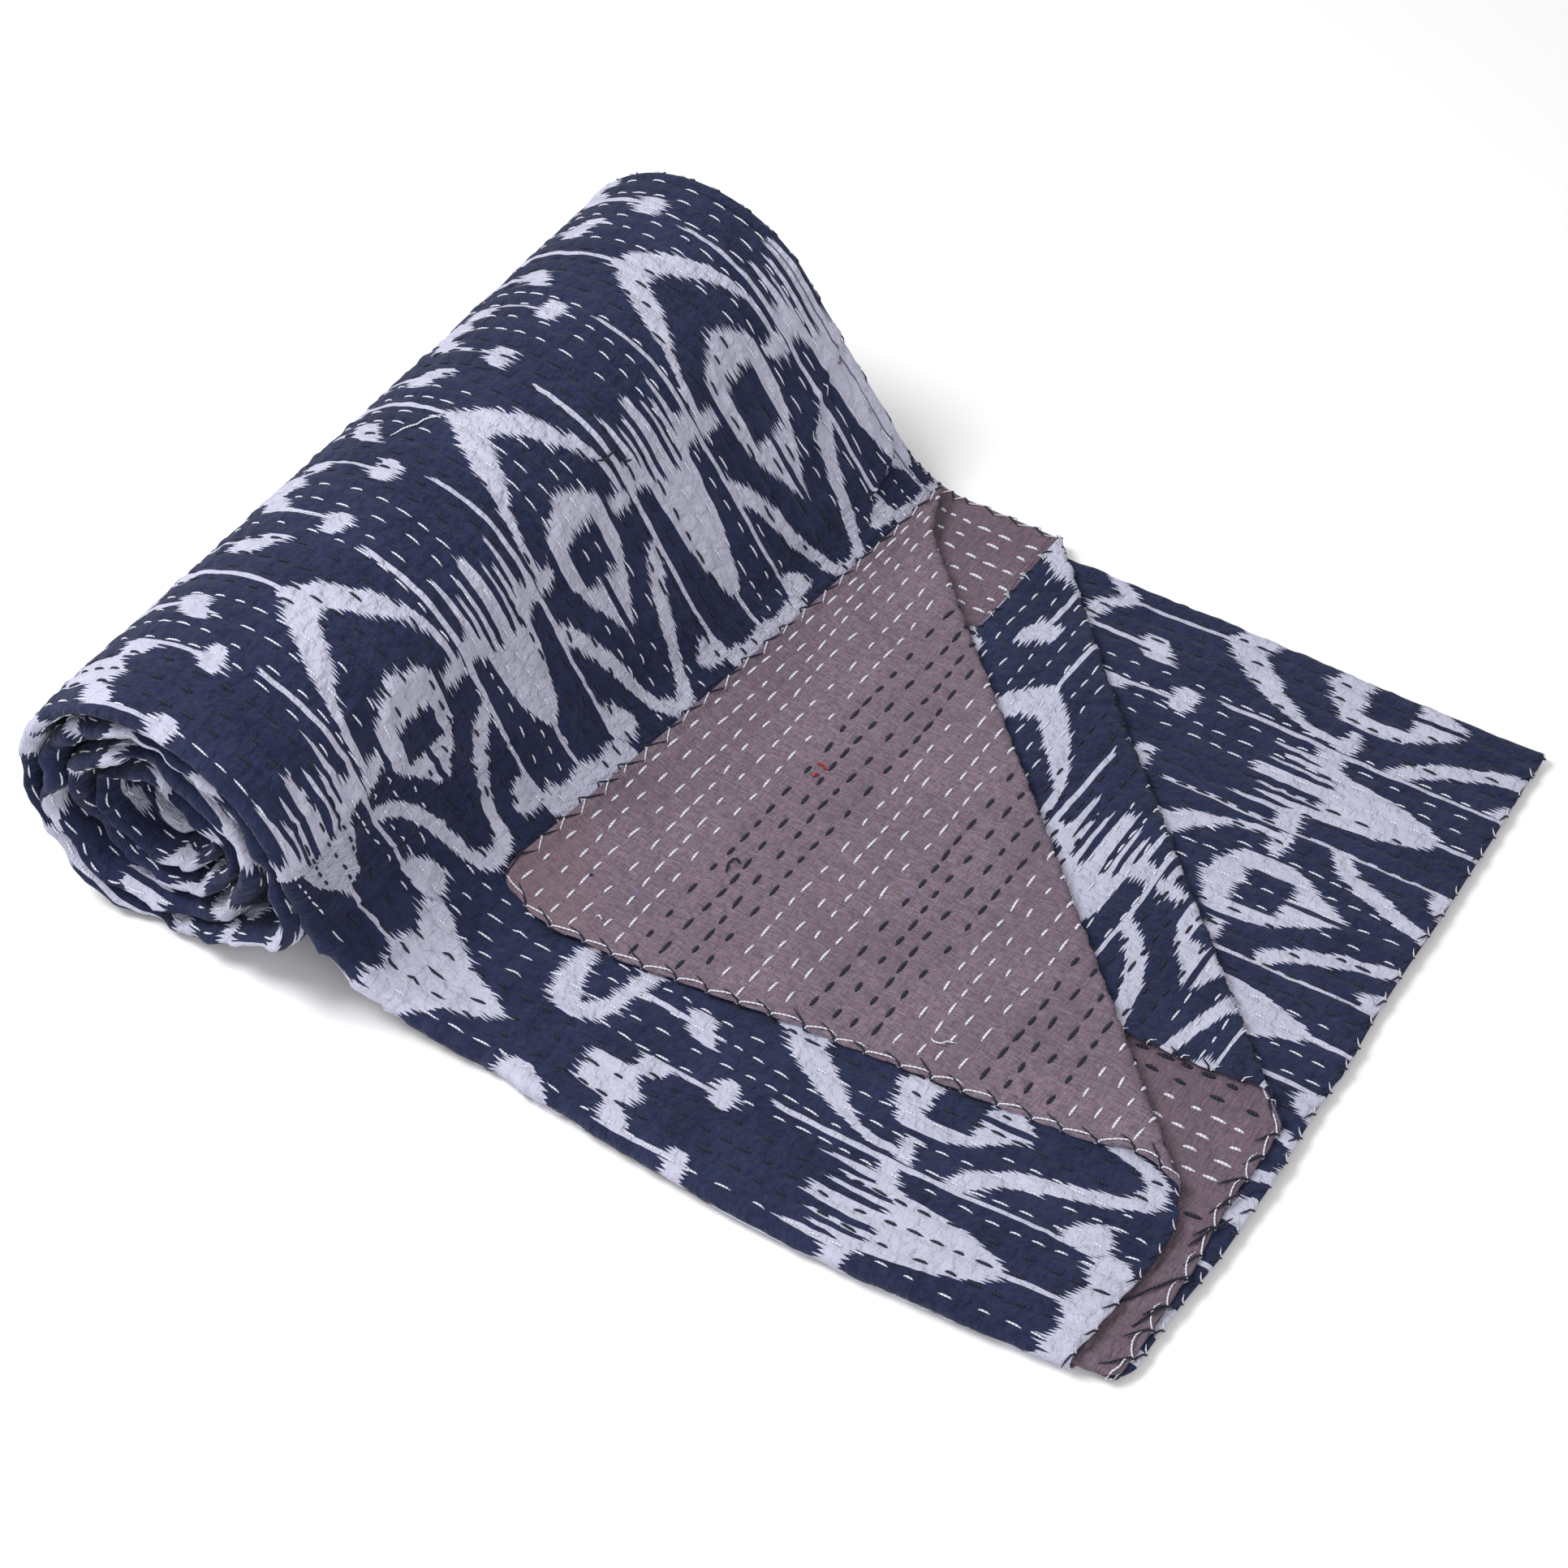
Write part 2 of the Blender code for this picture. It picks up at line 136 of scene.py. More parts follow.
# Radius of the threads in each set of meshes, in metres
THREAD_RADII = {
    "print_stitches": {"light": 0.00072, "dark": 0.001},
    "backing_stitches": {"light": 0.00102, "dark": 0.00142},
    "eye_stitches": {"light": 0.00072, "dark": 0.00095},
    "hem_stitches": {"light": 0.00055, "dark": 0.00068},
    "stray": {"light": 0.0006, "dark": 0.0008, "red": 0.00075},
}
# How far a running stitch stands proud in its middle, and how far it dips from there at its ends
STITCH_PROUD, STITCH_DIP = 0.00062, 0.0007
WHIP_PROUD = 0.0009
TWIST_PITCH = 0.0022

# Knots, tails, bits of red thread and long loose stitches: thread, side, and u, s and height of their
# points in millimetres
STRAYS = [
    ("red", -1, [(95, 199.7, 0.4), (99, 198.9, 1.8), (103.1, 198.2, 0.6)]),
    ("red", -1, [(100.9, 192.1, 0.4), (100.3, 190, 1.4), (99.4, 187.4, 0.4)]),
    ("dark", -1, [(97.3, 100.1, 0.4), (98.5, 103.5, 2), (101, 105, 2.2), (103.3, 103.7, 0.6)]),
    ("dark", -1, [(97, 101, 0.4), (99, 97, 2.2), (100.3, 93.7, 0.6)]),
    ("dark", 1, [(233, 638.5, 0.4), (228.3, 635.8, 2.2), (216, 635.2, 1)]),
    ("dark", 1, [(216, 635.2, 0.4), (216.9, 626.8, 2.4), (210.3, 624.2, 0.6)]),
    ("dark", -1, [(1744.5, 27.7, 0.4), (1760, 17.5, 1.6), (1775, 7.5, 2), (1787.7, -2, 2)]),
    ("dark", -1, [(1742, 10, 0.4), (1754, 4, 1.8), (1766, -3, 1.8)]),
    ("dark", -1, [(1805, 9, 0.4), (1820.5, 3.5, 1.8), (1835.5, -3, 1.8)]),
    ("dark", -1, [(1837, 8, 0.4), (1850.5, 3, 1.8), (1864, -3, 1.8)]),
    ("light", -1, [(58.7, 21.5, 0.6), (60.5, 22.6, 1.4), (63, 21.5, 0.6)]),
    ("light", -1, [
        (268.2, 49.4, 0.4), (270.5, 47, 1.8), (273.4, 46.3, 2.2), (276.4, 47.5, 2.2), (277.8, 51.5, 1.6),
        (283, 52.4, 0.6),
    ]),
    ("light", 1, [(308, 742, 0.4), (293, 732, 1.4), (276.4, 722.7, 0.6)]),
]


# ---- the print
REPEAT_ACROSS = 0.175
REPEAT_ALONG = 0.445
WRAP_LOW = -0.186
PRINT_SKEW = 0.09
# The middle of each hollow square along the quilt, in millimetres: u, s
PRINT_PHASE = metres([
    (98, 148), (276, 158), (450, 163), (620, 150), (1157, 95), (1347, 95), (1700, 100), (2270, 112),
])


# ---- noise
def hash2(i, j, seed):
    value = np.sin(i * 127.1 + j * 311.7 + seed * 74.7) * 43758.5453
    return value - np.floor(value)


def noise(a, b, seed=0):
    """Smooth value noise from -1 to 1, one cell to the unit."""
    i, j = np.floor(a), np.floor(b)
    fa, fb = a - i, b - j
    fa = fa * fa * fa * (fa * (fa * 6 - 15) + 10)
    fb = fb * fb * fb * (fb * (fb * 6 - 15) + 10)
    low = hash2(i, j, seed) * (1 - fa) + hash2(i + 1, j, seed) * fa
    high = hash2(i, j + 1, seed) * (1 - fa) + hash2(i + 1, j + 1, seed) * fa
    return 2 * (low * (1 - fb) + high * fb) - 1


def smooth(t):
    t = np.clip(t, 0, 1)
    return t * t * (3 - 2 * t)


# ---- the packet's path
def centre_height(end):
    shrink = TURN_PITCH * (1.5 * math.pi - end["leave"]) / TAU
    return end["half_height"] - shrink - FLAT_SPOT_DEPTH


def spiral(end, angle):
    """The wound packet's underside at an angle that starts at the front and goes over the top."""
    shrink = TURN_PITCH * (angle - end["leave"]) / TAU + STACK
    y = end["centre_y"] - (end["half_width"] - shrink) * np.cos(angle)
    z = centre_height(end) + (end["half_height"] - shrink) * np.sin(angle)
    return np.stack([y, z], axis=-1)


def near_inset(turn, column):
    """How far in a turn lies at the near end: column 1 across, 2 upright."""
    return np.interp(turn, NEAR_WINDING[:, 0], NEAR_WINDING[:, column])


def near_spiral(end, angle):
    """The same at the near end, wound to NEAR_WINDING and sagging where it turns up in front."""
    turn = (angle - end["leave"]) / TAU
    inset, thick = [], []
    for column in (1, 2):
        inset.append(near_inset(turn, column))
        full = STACK * (near_inset(np.clip(turn, 0, 7) + 1, column) - inset[-1]) / TURN_PITCH
        thick.append(STACK + (full - STACK) * np.clip(turn * 2, 0, 1))
    sag = sum(depth * np.exp(-(((turn - middle) / width) ** 2)) for middle, width, depth in NEAR_SAGS)
    inner = smooth((turn - 1.1) / 0.8)
    y = end["centre_y"] - (end["half_width"] - inset[0] - thick[0] + sag) * np.cos(angle)
    z = centre_height(end) + (end["half_height"] - inset[1] - thick[1] + 0.3 * sag) * np.sin(angle)
    return np.stack([y + 0.004 * inner, z - 0.002 * inner], axis=-1)


def near_thickness(turn):
    """How thick the packet is at the near end against its thickness elsewhere, after each turn."""
    level = np.clip(turn, 0, 6.4)
    gap = near_inset(level + 1, 1) - near_inset(level, 1)
    return 1 + (gap / TURN_PITCH - 1) * np.clip(turn * 2, 0, 1)


def path_points(end, q, wind=spiral):
    """Points under the packet: q is 0-1 on the floor, 1-2 in the flare, 2-3 up the slope, then turns."""
    leave = spiral(end, np.array(end["leave"]))
    step = spiral(end, np.array(end["leave"] + NORMAL_STEP)) - leave
    upward = step / np.linalg.norm(step)
    corner = leave - upward * leave[1] / upward[1]
    landing = corner - np.array((end["flare_out"], 0.0))
    lift_off = corner + end["flare_up"] * upward
    column = q[:, None]
    start = np.array((END_Y, 0.0))
    floor = start + (landing - start) * column
    t = np.clip(column - 1, 0, 1)
    flare = landing * (1 - t) ** 2 + corner * 2 * t * (1 - t) + lift_off * t**2
    slope = lift_off + (leave - lift_off) * (column - 2)
    wound = wind(end, end["leave"] + (q - 3) * TAU)
    return np.where(column <= 1, floor, np.where(column <= 2, flare, np.where(column <= 3, slope, wound)))


def make_path():
    q = np.concatenate([np.linspace(0, 3, 361), 3 + np.arange(1, 6 * 180 + 61) / 180])
    path = {"q": q}
    lengths = []
    for name, end in ROLL_ENDS.items():
        wind = near_spiral if name == "near" else spiral
        tangent = path_points(end, q + NORMAL_STEP, wind) - path_points(end, q - NORMAL_STEP, wind)
        tangent /= np.linalg.norm(tangent, axis=1)[:, None]
        path[name] = path_points(end, q, wind)
        path[name + "_normal"] = np.stack([-tangent[:, 1], tangent[:, 0]], axis=-1)
        even = path_points(end, q)
        lengths.append(np.append(0.0, np.cumsum(np.linalg.norm(np.diff(even, axis=0), axis=1))))
    path["s"] = np.mean(lengths, axis=0)
    return path


PATH = make_path()


def length_at(q):
    return float(np.interp(q, PATH["q"], PATH["s"]))


def turn_at(s):
    """How many turns in from where the packet leaves the roll."""
    return np.clip(np.interp(s, PATH["s"], PATH["q"]) - 3, 0, None)


REACH = length_at(3)
LENGTH = length_at(3 + TURNS)


def place(x, s, lift):
    """World points for points of the folded packet: x across, s along it, lift above its underside."""
    share = np.clip((x - STRIP_NEAR_X) / (STRIP_FAR_X - STRIP_NEAR_X), 0, 1)
    found = np.zeros((len(x), 3))
    found[:, 0] = x
    thick = near_thickness(np.interp(s, PATH["s"], PATH["q"]) - 3)
    for name, weight, lifted in (("near", 1 - share, lift * thick), ("far", share, lift)):
        for axis in (0, 1):
            point = np.interp(s, PATH["s"], PATH[name][:, axis])
            normal = np.interp(s, PATH["s"], PATH[name + "_normal"][:, axis])
            found[:, axis + 1] += weight * (point + normal * lifted)
    found[:, 1] += np.minimum(s, 0)
    return found


# ---- the lengthwise folds
TOP = 3 * LAYER_PITCH
# Rows of the section: kind, length, start x, direction, middle's height, radius, printed side
ROWS = [
    ("layer", STRIP_FAR_X - OUTER_FOLD_X, STRIP_FAR_X, -1, TOP, 0, 1),
    ("fold", math.pi * OUTER_RADIUS, OUTER_FOLD_X, -1, TOP, -OUTER_RADIUS, 1),
    ("layer", FAR_FOLD_X - OUTER_FOLD_X, OUTER_FOLD_X, 1, 0, 0, -1),
    ("fold", math.pi * INNER_RADIUS, FAR_FOLD_X, 1, 0, INNER_RADIUS, 1),
    ("layer", FAR_FOLD_X - INNER_FOLD_X, FAR_FOLD_X, -1, LAYER_PITCH, 0, 1),
    ("fold", math.pi * INNER_RADIUS, INNER_FOLD_X, -1, LAYER_PITCH, INNER_RADIUS, -1),
    ("layer", STRIP_FAR_X - INNER_FOLD_X, INNER_FOLD_X, 1, 2 * LAYER_PITCH, 0, -1),
]
STARTS = np.append(0.0, np.cumsum([row[1] for row in ROWS]))
WIDTH = float(STARTS[-1])


def fold_section(u, w):
    """x, and the heights of the cloth's middle and of the point, for points u, w of the cloth."""
    x, middle, height = np.zeros_like(u), np.zeros_like(u), np.zeros_like(u)
    index = np.clip(np.searchsorted(STARTS, u, side="right") - 1, 0, len(ROWS) - 1)
    for number, (kind, _, start_x, way, level, radius, face) in enumerate(ROWS):
        here = index == number
        along = u[here] - STARTS[number]
        if kind == "layer":
            x[here] = start_x + way * along
            middle[here] = level
            height[here] = level + face * w[here]
            continue
        angle = along / abs(radius)
        reach = abs(radius) + face * w[here]
        x[here] = start_x + way * reach * np.sin(angle)
        middle[here] = level + radius * (1 - np.cos(angle))
        height[here] = level + radius - math.copysign(1, radius) * reach * np.cos(angle)
    return x, middle + CLOTH / 2, height + CLOTH / 2


def hem_overhang(u, x, s):
    most = np.where(u < STARTS[1], FIRST_HEM_OVERHANG, np.where(u > STARTS[6], SECOND_HEM_OVERHANG, 0))
    across = np.clip(1 - (STRIP_FAR_X - x) / OVERHANG_WIDTH, 0, 1)
    return most * across * np.clip((REACH - s) / (REACH - RIDE_END_S), 0, 1)


def near_drift(x, s):
    """How far the near edge strays: out on the floor, wide up to the roll, in and uneven at its eye."""
    turn = turn_at(s)
    bow = NEAR_BOW * np.sin(np.clip(s / NEAR_BOW_LENGTH, 0, 1) * math.pi)
    widen = (STRIP_NEAR_X - ROLL_NEAR_X) * smooth((s - NEAR_BOW_LENGTH) / (REACH - NEAR_BOW_LENGTH))
    recess = np.interp(turn, *np.array(NEAR_RECESS).T)
    ragged = 0.0046 * noise(s / 0.05, 0, 11) + 0.0022 * noise(s / 0.014, 0, 12)
    uneven = ragged * np.clip(turn * 2.5 - 0.6, 0, 1)
    across = np.clip(1 - (x - STRIP_NEAR_X) / NEAR_DRIFT_WIDTH, 0, 1)
    return (recess + uneven - bow - widen) * across


def turn_corner(corner, x, s, up):
    """Carries points past a corner's fold line round it and back, softly, so that the fold stands proud."""
    start = np.array((corner["end_x"], corner["end_s"]))
    run = np.array((STRIP_FAR_X, corner["far_s"])) - start
    run /= np.linalg.norm(run)
    normal = np.array((run[1], -run[0]))
    radius = corner["radius"]
    past = (x - start[0]) * normal[0] + (s - start[1]) * normal[1]
    angle = np.clip(past / radius, 0, math.pi)
    flat_run = np.maximum(past - math.pi * radius, 0) * corner["ease"]
    new_past = np.where(past > 0, (radius - up) * np.sin(angle) - flat_run, past)
    settle = 2 * (radius - REST_RADIUS) * smooth(flat_run / 0.045)
    rise = np.where(past > 0, radius - (radius - up) * np.cos(angle) - settle, up)
    shift = new_past - past
    return x + shift * normal[0], s + shift * normal[1], rise, past


def end_inset(u):
    inset = np.interp(u, *END_INSETS.T) + 0.0012 * noise(u / 0.045, 0, 5)
    inset = inset + 0.0005 * np.cos(u * TAU / WHIP_PITCH)
    inner_fold = np.abs(u - (STARTS[5] + STARTS[6]) / 2)
    rounds = ((u, CORNER_ROUND), (WIDTH - u, CORNER_ROUND), (inner_fold, CORNER_ROUND / 2))
    for distance, radius in rounds:
        near = np.clip(radius - distance, 0, radius)
        inset = inset + radius - np.sqrt(np.maximum(radius**2 - near**2, 0))
    return inset


def from_near_edge(x, reach):
    """1 at the near edge, fading across the strip."""
    return np.exp(-np.clip(x - STRIP_NEAR_X, 0, 1) / reach)


def swell(x, s):
    """Slow hollows and swells that all four layers share."""
    loose = 0.001 * (1 + noise(x / 0.085 + 3.1, s / 0.1, 21))
    loose = loose + 0.0006 * (1 + noise(x / 0.035, s / 0.045, 22))
    close = from_near_edge(x, 0.05) * np.clip(turn_at(s) * 3 - 0.5, 0, 1)
    crushed = 0.0013 + 0.0016 * smooth(turn_at(s) - 1.0)
    wound = 0.0006 * noise(x / 0.11, s / 0.075, 23) + crushed * close * noise(x / 0.06, s / 0.042, 24)
    return loose + (wound - loose) * smooth((s - REACH + 0.05) / 0.2)


# ---- creases
# Soft troughs, and ridges where the depth is negative, on the printed top layer, in millimetres: u and s
# of both ends, depth, half width
CREASES = metres([
    (568, 512, 470, 520, 2.3, 2.1), (476, 519, 380, 545, 1.8, 1.9), (-10, 588, 46, 569, 2, 2),
    (-10, 592, 50, 572, -2.6, 1.8), (34, 575, 86, 551, 2.2, 2), (36, 579, 90, 554, -2.4, 1.8),
    (-4, 541, 56, 513, 2, 2), (-4, 545, 60, 516, -2.8, 1.9), (6, 573, 24, 541, -1.8, 1.8),
    (110, 560, 150, 540, 1.3, 2), (560, 430, 500, 448, 1, 2), (300, 130, 215, 170, -1, 3),
    (240, 115, 180, 125, -1, 2.6),
])


def crease_depth(u, s, side):
    """Depth of the creases; the backing's are wider, so that its trough stays below the print's."""
    spread = 1.0 if side > 0 else BACKING_SPREAD
    depth = np.zeros_like(u)
    for u0, s0, u1, s1, deep, half in CREASES:
        run = np.array((u1 - u0, s1 - s0))
        length = np.linalg.norm(run)
        run /= length
        along = (u - u0) * run[0] + (s - s0) * run[1]
        off = (u - u0) * run[1] - (s - s0) * run[0] + 0.0012 * np.sin(along * TAU / 0.031)
        fade = smooth(along / (0.2 * length)) * smooth((length - along) / (0.2 * length))
        depth -= deep * fade * np.exp(-((off / (half * spread)) ** 2))
    return depth


# ---- quilted relief
def row_centre(k, s):
    """u of quilting row k at s, with the wander of a hand-sewn line."""
    return (
        ROW_START
        + ROW_PITCH * k
        + 0.0011 * np.sin(s * TAU / 0.27 + 1.7 * k)
        + 0.0007 * np.sin(s * TAU / 0.083 + 2.9 * k)
    )


def row_band(k):
    """The thread of row k: bands of rows counted from the nearer hem."""
    if k > LAST_ROW // 2:
        light = LAST_ROW - k < LAST_BAND_ROWS or ((LAST_ROW - k - LAST_BAND_ROWS) // BAND_ROWS) % 2
    else:
        light = k < FIRST_BAND_ROWS or ((k - FIRST_BAND_ROWS + (k > NEAR_FOLD_ROW)) // BAND_ROWS) % 2
    return "light" if light else "dark"


def stitch_cycle(k, s):
    """Count of stitches along row k; in the first half of each the thread lies on the printed side."""
    return s / STITCH_PITCH + 0.618 * k + 0.35 * np.sin(s * TAU / 0.13 + 2.1 * k)


def relief(u, s, side):
    """Height of the quilted surface over the flat cloth; side is 1 for the print, -1 for the backing."""
    k = np.round((u - ROW_START) / ROW_PITCH)
    off = u - row_centre(k, s)
    phase = stitch_cycle(k, s) % 1
    on = smooth(6 * (0.25 - np.abs(phase - STITCH_MIDDLE[side])) + 0.5)
    hole = np.abs(phase - np.round(phase * 2) / 2)
    pinch = np.exp(-((hole / 0.1) ** 2))
    groove = np.exp(-((off / 0.0021) ** 2)) * (0.3 + 0.35 * on + 0.45 * pinch)
    puff = 1 - np.exp(-((off / 0.0046) ** 2))
    gathers = noise(u / 0.013, s / 0.0065, 31 + side) + 0.6 * noise(u / 0.0085, s / 0.011, 33 + side)
    gathers = gathers if side > 0 else 0.6 * gathers + 0.9 * noise(u / 0.032, s / 0.0078, 35)
    slope = smooth((u - 0.36) / 0.1) * smooth((0.6 - u) / 0.03) * smooth((s - 0.3) / 0.1)
    slope = slope * smooth((0.72 - s) / 0.12)
    if side > 0:
        gathers = gathers + (0.7 + 1.5 * slope) * noise(u / 0.021, s / 0.016, 39)
    hem = smooth(np.minimum(u, WIDTH - u) / 0.006)
    height = 0.00068 * puff - 0.001 * groove + 0.00072 * gathers * (0.35 + 0.65 * puff)
    fold_hem = 0.00045 * smooth((HEM_FOLD - np.minimum(u, WIDTH - u)) / 0.0012)
    near_fold = np.exp(-np.abs(u - (STARTS[1] + STARTS[2]) / 2) / 0.022) * np.clip(turn_at(s) * 4 - 0.8, 0, 1)
    pleats = near_fold * (0.002 * noise(s / 0.0105, u / 0.05, 37) + 0.0018 * noise(s / 0.021, u / 0.012, 38))
    wrinkles = 0.0026 * slope * np.clip(1 - 3.2 * np.abs(noise(u / 0.032, s / 0.019, 41)), 0, 1)
    if side > 0:
        return np.maximum(PRINT_PUCKER * height * hem + pleats, DEEPEST) + fold_hem + wrinkles
    return np.maximum(height * hem, DEEPEST) + fold_hem + BACKING_PULL * near_fold


def squeeze(x, s, lift):
    """The folded edge is pressed thin, unevenly, where it is wound up."""
    close = from_near_edge(x, 0.011) * np.clip(turn_at(s) * 4 - 0.2, 0, 1)
    return lift + (STACK / 2 - lift) * close * (0.5 + 0.26 * noise(s / 0.03, 0, 51))


def crumple(found, x, s):
    """Pushes the wound turns about together at the near end, so that they are crumpled but keep apart."""
    y, z = found[:, 1].copy(), found[:, 2].copy()
    close = from_near_edge(x, 0.055) * smooth((turn_at(s) - 0.7) / 0.8)
    for axis, seed in ((1, 61), (2, 63)):
        slow = 0.0066 * noise(y / 0.034, z / 0.03, seed)
        quick = 0.0028 * noise(y / 0.014 + x / 0.05, z / 0.013, seed + 1)
        found[:, axis] += close * (slow + quick)


def cloth_points(u, s, w):
    """World points for points of the quilt at rest."""
    x, middle, height = fold_section(u, w)
    lift = height.copy()
    new_x, new_s = x.copy(), s.copy()
    flap_rise = np.zeros_like(u)
    for name, part, up in (("first", u < STARTS[1], w), ("second", u > STARTS[6], -w)):
        new_x[part], new_s[part], rise, past = turn_corner(TURNED_CORNERS[name], x[part], s[part], up[part])
        lift[part] = middle[part] + rise
        edge = np.minimum(np.minimum(u[part], WIDTH - u[part]), s[part] - 0.01)
        curl = 0.0018 * np.exp(-np.clip(edge, 0, 1) / 0.01) * smooth(past / 0.03)
        flap_rise[part] = curl * (1.1 + noise(u[part] / 0.05, s[part] / 0.05, 41))
    new_x += hem_overhang(u, new_x, new_s)
    share = np.clip((middle - CLOTH / 2) / TOP, 0, 1)
    ride = LAYER_PITCH * np.clip((REACH - new_s) / (REACH - RIDE_END_S), 0, 1)
    ride = np.where(u < STARTS[2], ride * share, 0)
    x_now = new_x + near_drift(new_x, new_s)
    lift = squeeze(new_x, new_s, lift)
    found = place(x_now, new_s, lift + ride + flap_rise + swell(new_x, new_s))
    crumple(found, new_x, new_s)
    found[:, 2] = np.maximum(found[:, 2], LOWEST)
    return found


def surface_points(u, s, side, proud=0.0):
    """World points on the printed (1) or backing (-1) side, closing round at the hems."""
    edge = np.minimum(np.minimum(u, WIDTH - u), np.minimum(s - end_inset(u), LENGTH - s))
    close = np.clip(edge / HEM_ROUND, 0, 1)
    half = CLOTH / 2 * np.sqrt(1 - (1 - close) ** 2)
    rise = relief(u, s, side) * smooth(edge / 0.003)
    return cloth_points(u, s, side * (half + rise + proud) + crease_depth(u, s, side))


# ---- meshes
def new_mesh(name, points, faces, uvs, material, caps=None):
    """An object from arrays; uvs is a dictionary of layer name to one (u, v) for each vertex."""
    mesh = bpy.data.meshes.new(name)
    parts = [np.asarray(part, dtype=np.int32) for part in (faces, caps) if part is not None]
    corners = np.concatenate([part.ravel() for part in parts])
    sizes = np.concatenate([np.full(len(part), part.shape[1]) for part in parts])
    mesh.vertices.add(len(points))
    mesh.vertices.foreach_set("co", np.asarray(points, dtype=np.float32).ravel())
    mesh.loops.add(len(corners))
    mesh.loops.foreach_set("vertex_index", corners)
    mesh.polygons.add(len(sizes))
    mesh.polygons.foreach_set("loop_start", (np.cumsum(sizes) - sizes).astype(np.int32))
    for layer, values in uvs.items():
        found = np.zeros((len(corners), 2), dtype=np.float32)
        found[: parts[0].size] = np.asarray(values)[parts[0].ravel()]
        mesh.uv_layers.new(name=layer).data.foreach_set("uv", found.ravel())
    mesh.update(calc_edges=True)
    mesh.validate()
    mesh.polygons.foreach_set("use_smooth", np.ones(len(mesh.polygons), dtype=bool))
    made = bpy.data.objects.new(name, mesh)
    bpy.context.scene.collection.objects.link(made)
    mesh.materials.append(material)
    return made


def print_uv(u, s):
    """Where a point of the cloth falls in the print: across and along, in metres."""
    askew = PRINT_SKEW * np.clip(s - SPLIT_S, 0, None)
    return np.stack([np.interp(u, *PRINT_ACROSS) + askew, s - np.interp(u, *PRINT_PHASE.T)], axis=-1)


def u_of(layer_row, x):
    """u of a point at x in one of the flat layers."""
    _, _, start_x, way, *_ = ROWS[layer_row]
    return float(STARTS[layer_row] + (x - start_x) * way)


# u of the middle of the hollow squares, and the print coordinate there
PRINT_ACROSS = (
    [0.0, u_of(0, 0.19), u_of(0, 0.012), u_of(0, -0.1615), 0.62, u_of(4, 0.273), u_of(4, 0.083), 1.7]
    + [u_of(6, 0.0225), u_of(6, 0.215), 2.4],
    [-0.098, 0.0, 0.175, 0.35, 0.518, 1.05, 1.225, 1.57]
    + [1.925, 2.1, 2.27],
)


def sheet_grid(name, us, ss, side, material):
    """One side of the quilt as a grid of the given stations."""
    us, ss = np.asarray(us), np.asarray(ss)
    u, s = np.meshgrid(us, ss)
    u, s = u.ravel(), s.ravel()
    loose = s < REACH
    inset = end_inset(u)
    s = np.where(loose, inset + s * (REACH - inset) / REACH, s)
    points = surface_points(u, s, side)
    columns, rows = len(us), len(ss)
    index = np.arange(columns * rows).reshape(rows, columns)
    corners = [index[:-1, :-1], index[:-1, 1:], index[1:, 1:], index[1:, :-1]]
    faces = np.stack([corner.ravel() for corner in corners], axis=-1)
    if side > 0:
        faces = faces[:, ::-1]
    column, row = np.meshgrid(np.linspace(0.002, 0.998, columns), np.linspace(0.002, 0.998, rows))
    flat = np.stack([u, s], axis=-1)
    bake = np.stack([column.ravel(), row.ravel()], axis=-1)
    uvs = {"Cloth": flat, "Print": print_uv(u, s), "OFBake": bake}
    return new_mesh(name, points, faces, uvs, material)


def stations(*runs, end):
    """Stations along a line; a run is (from, step) and lasts to where the next one, or the end, comes."""
    found = []
    for (low, step), (high, _) in zip(runs, [*runs[1:], (end, 0)]):
        found.append(np.linspace(low, high, max(int(round(abs(high - low) / step)), 1), endpoint=False))
    return np.unique(np.round(np.concatenate([*found, [end]]), 7))


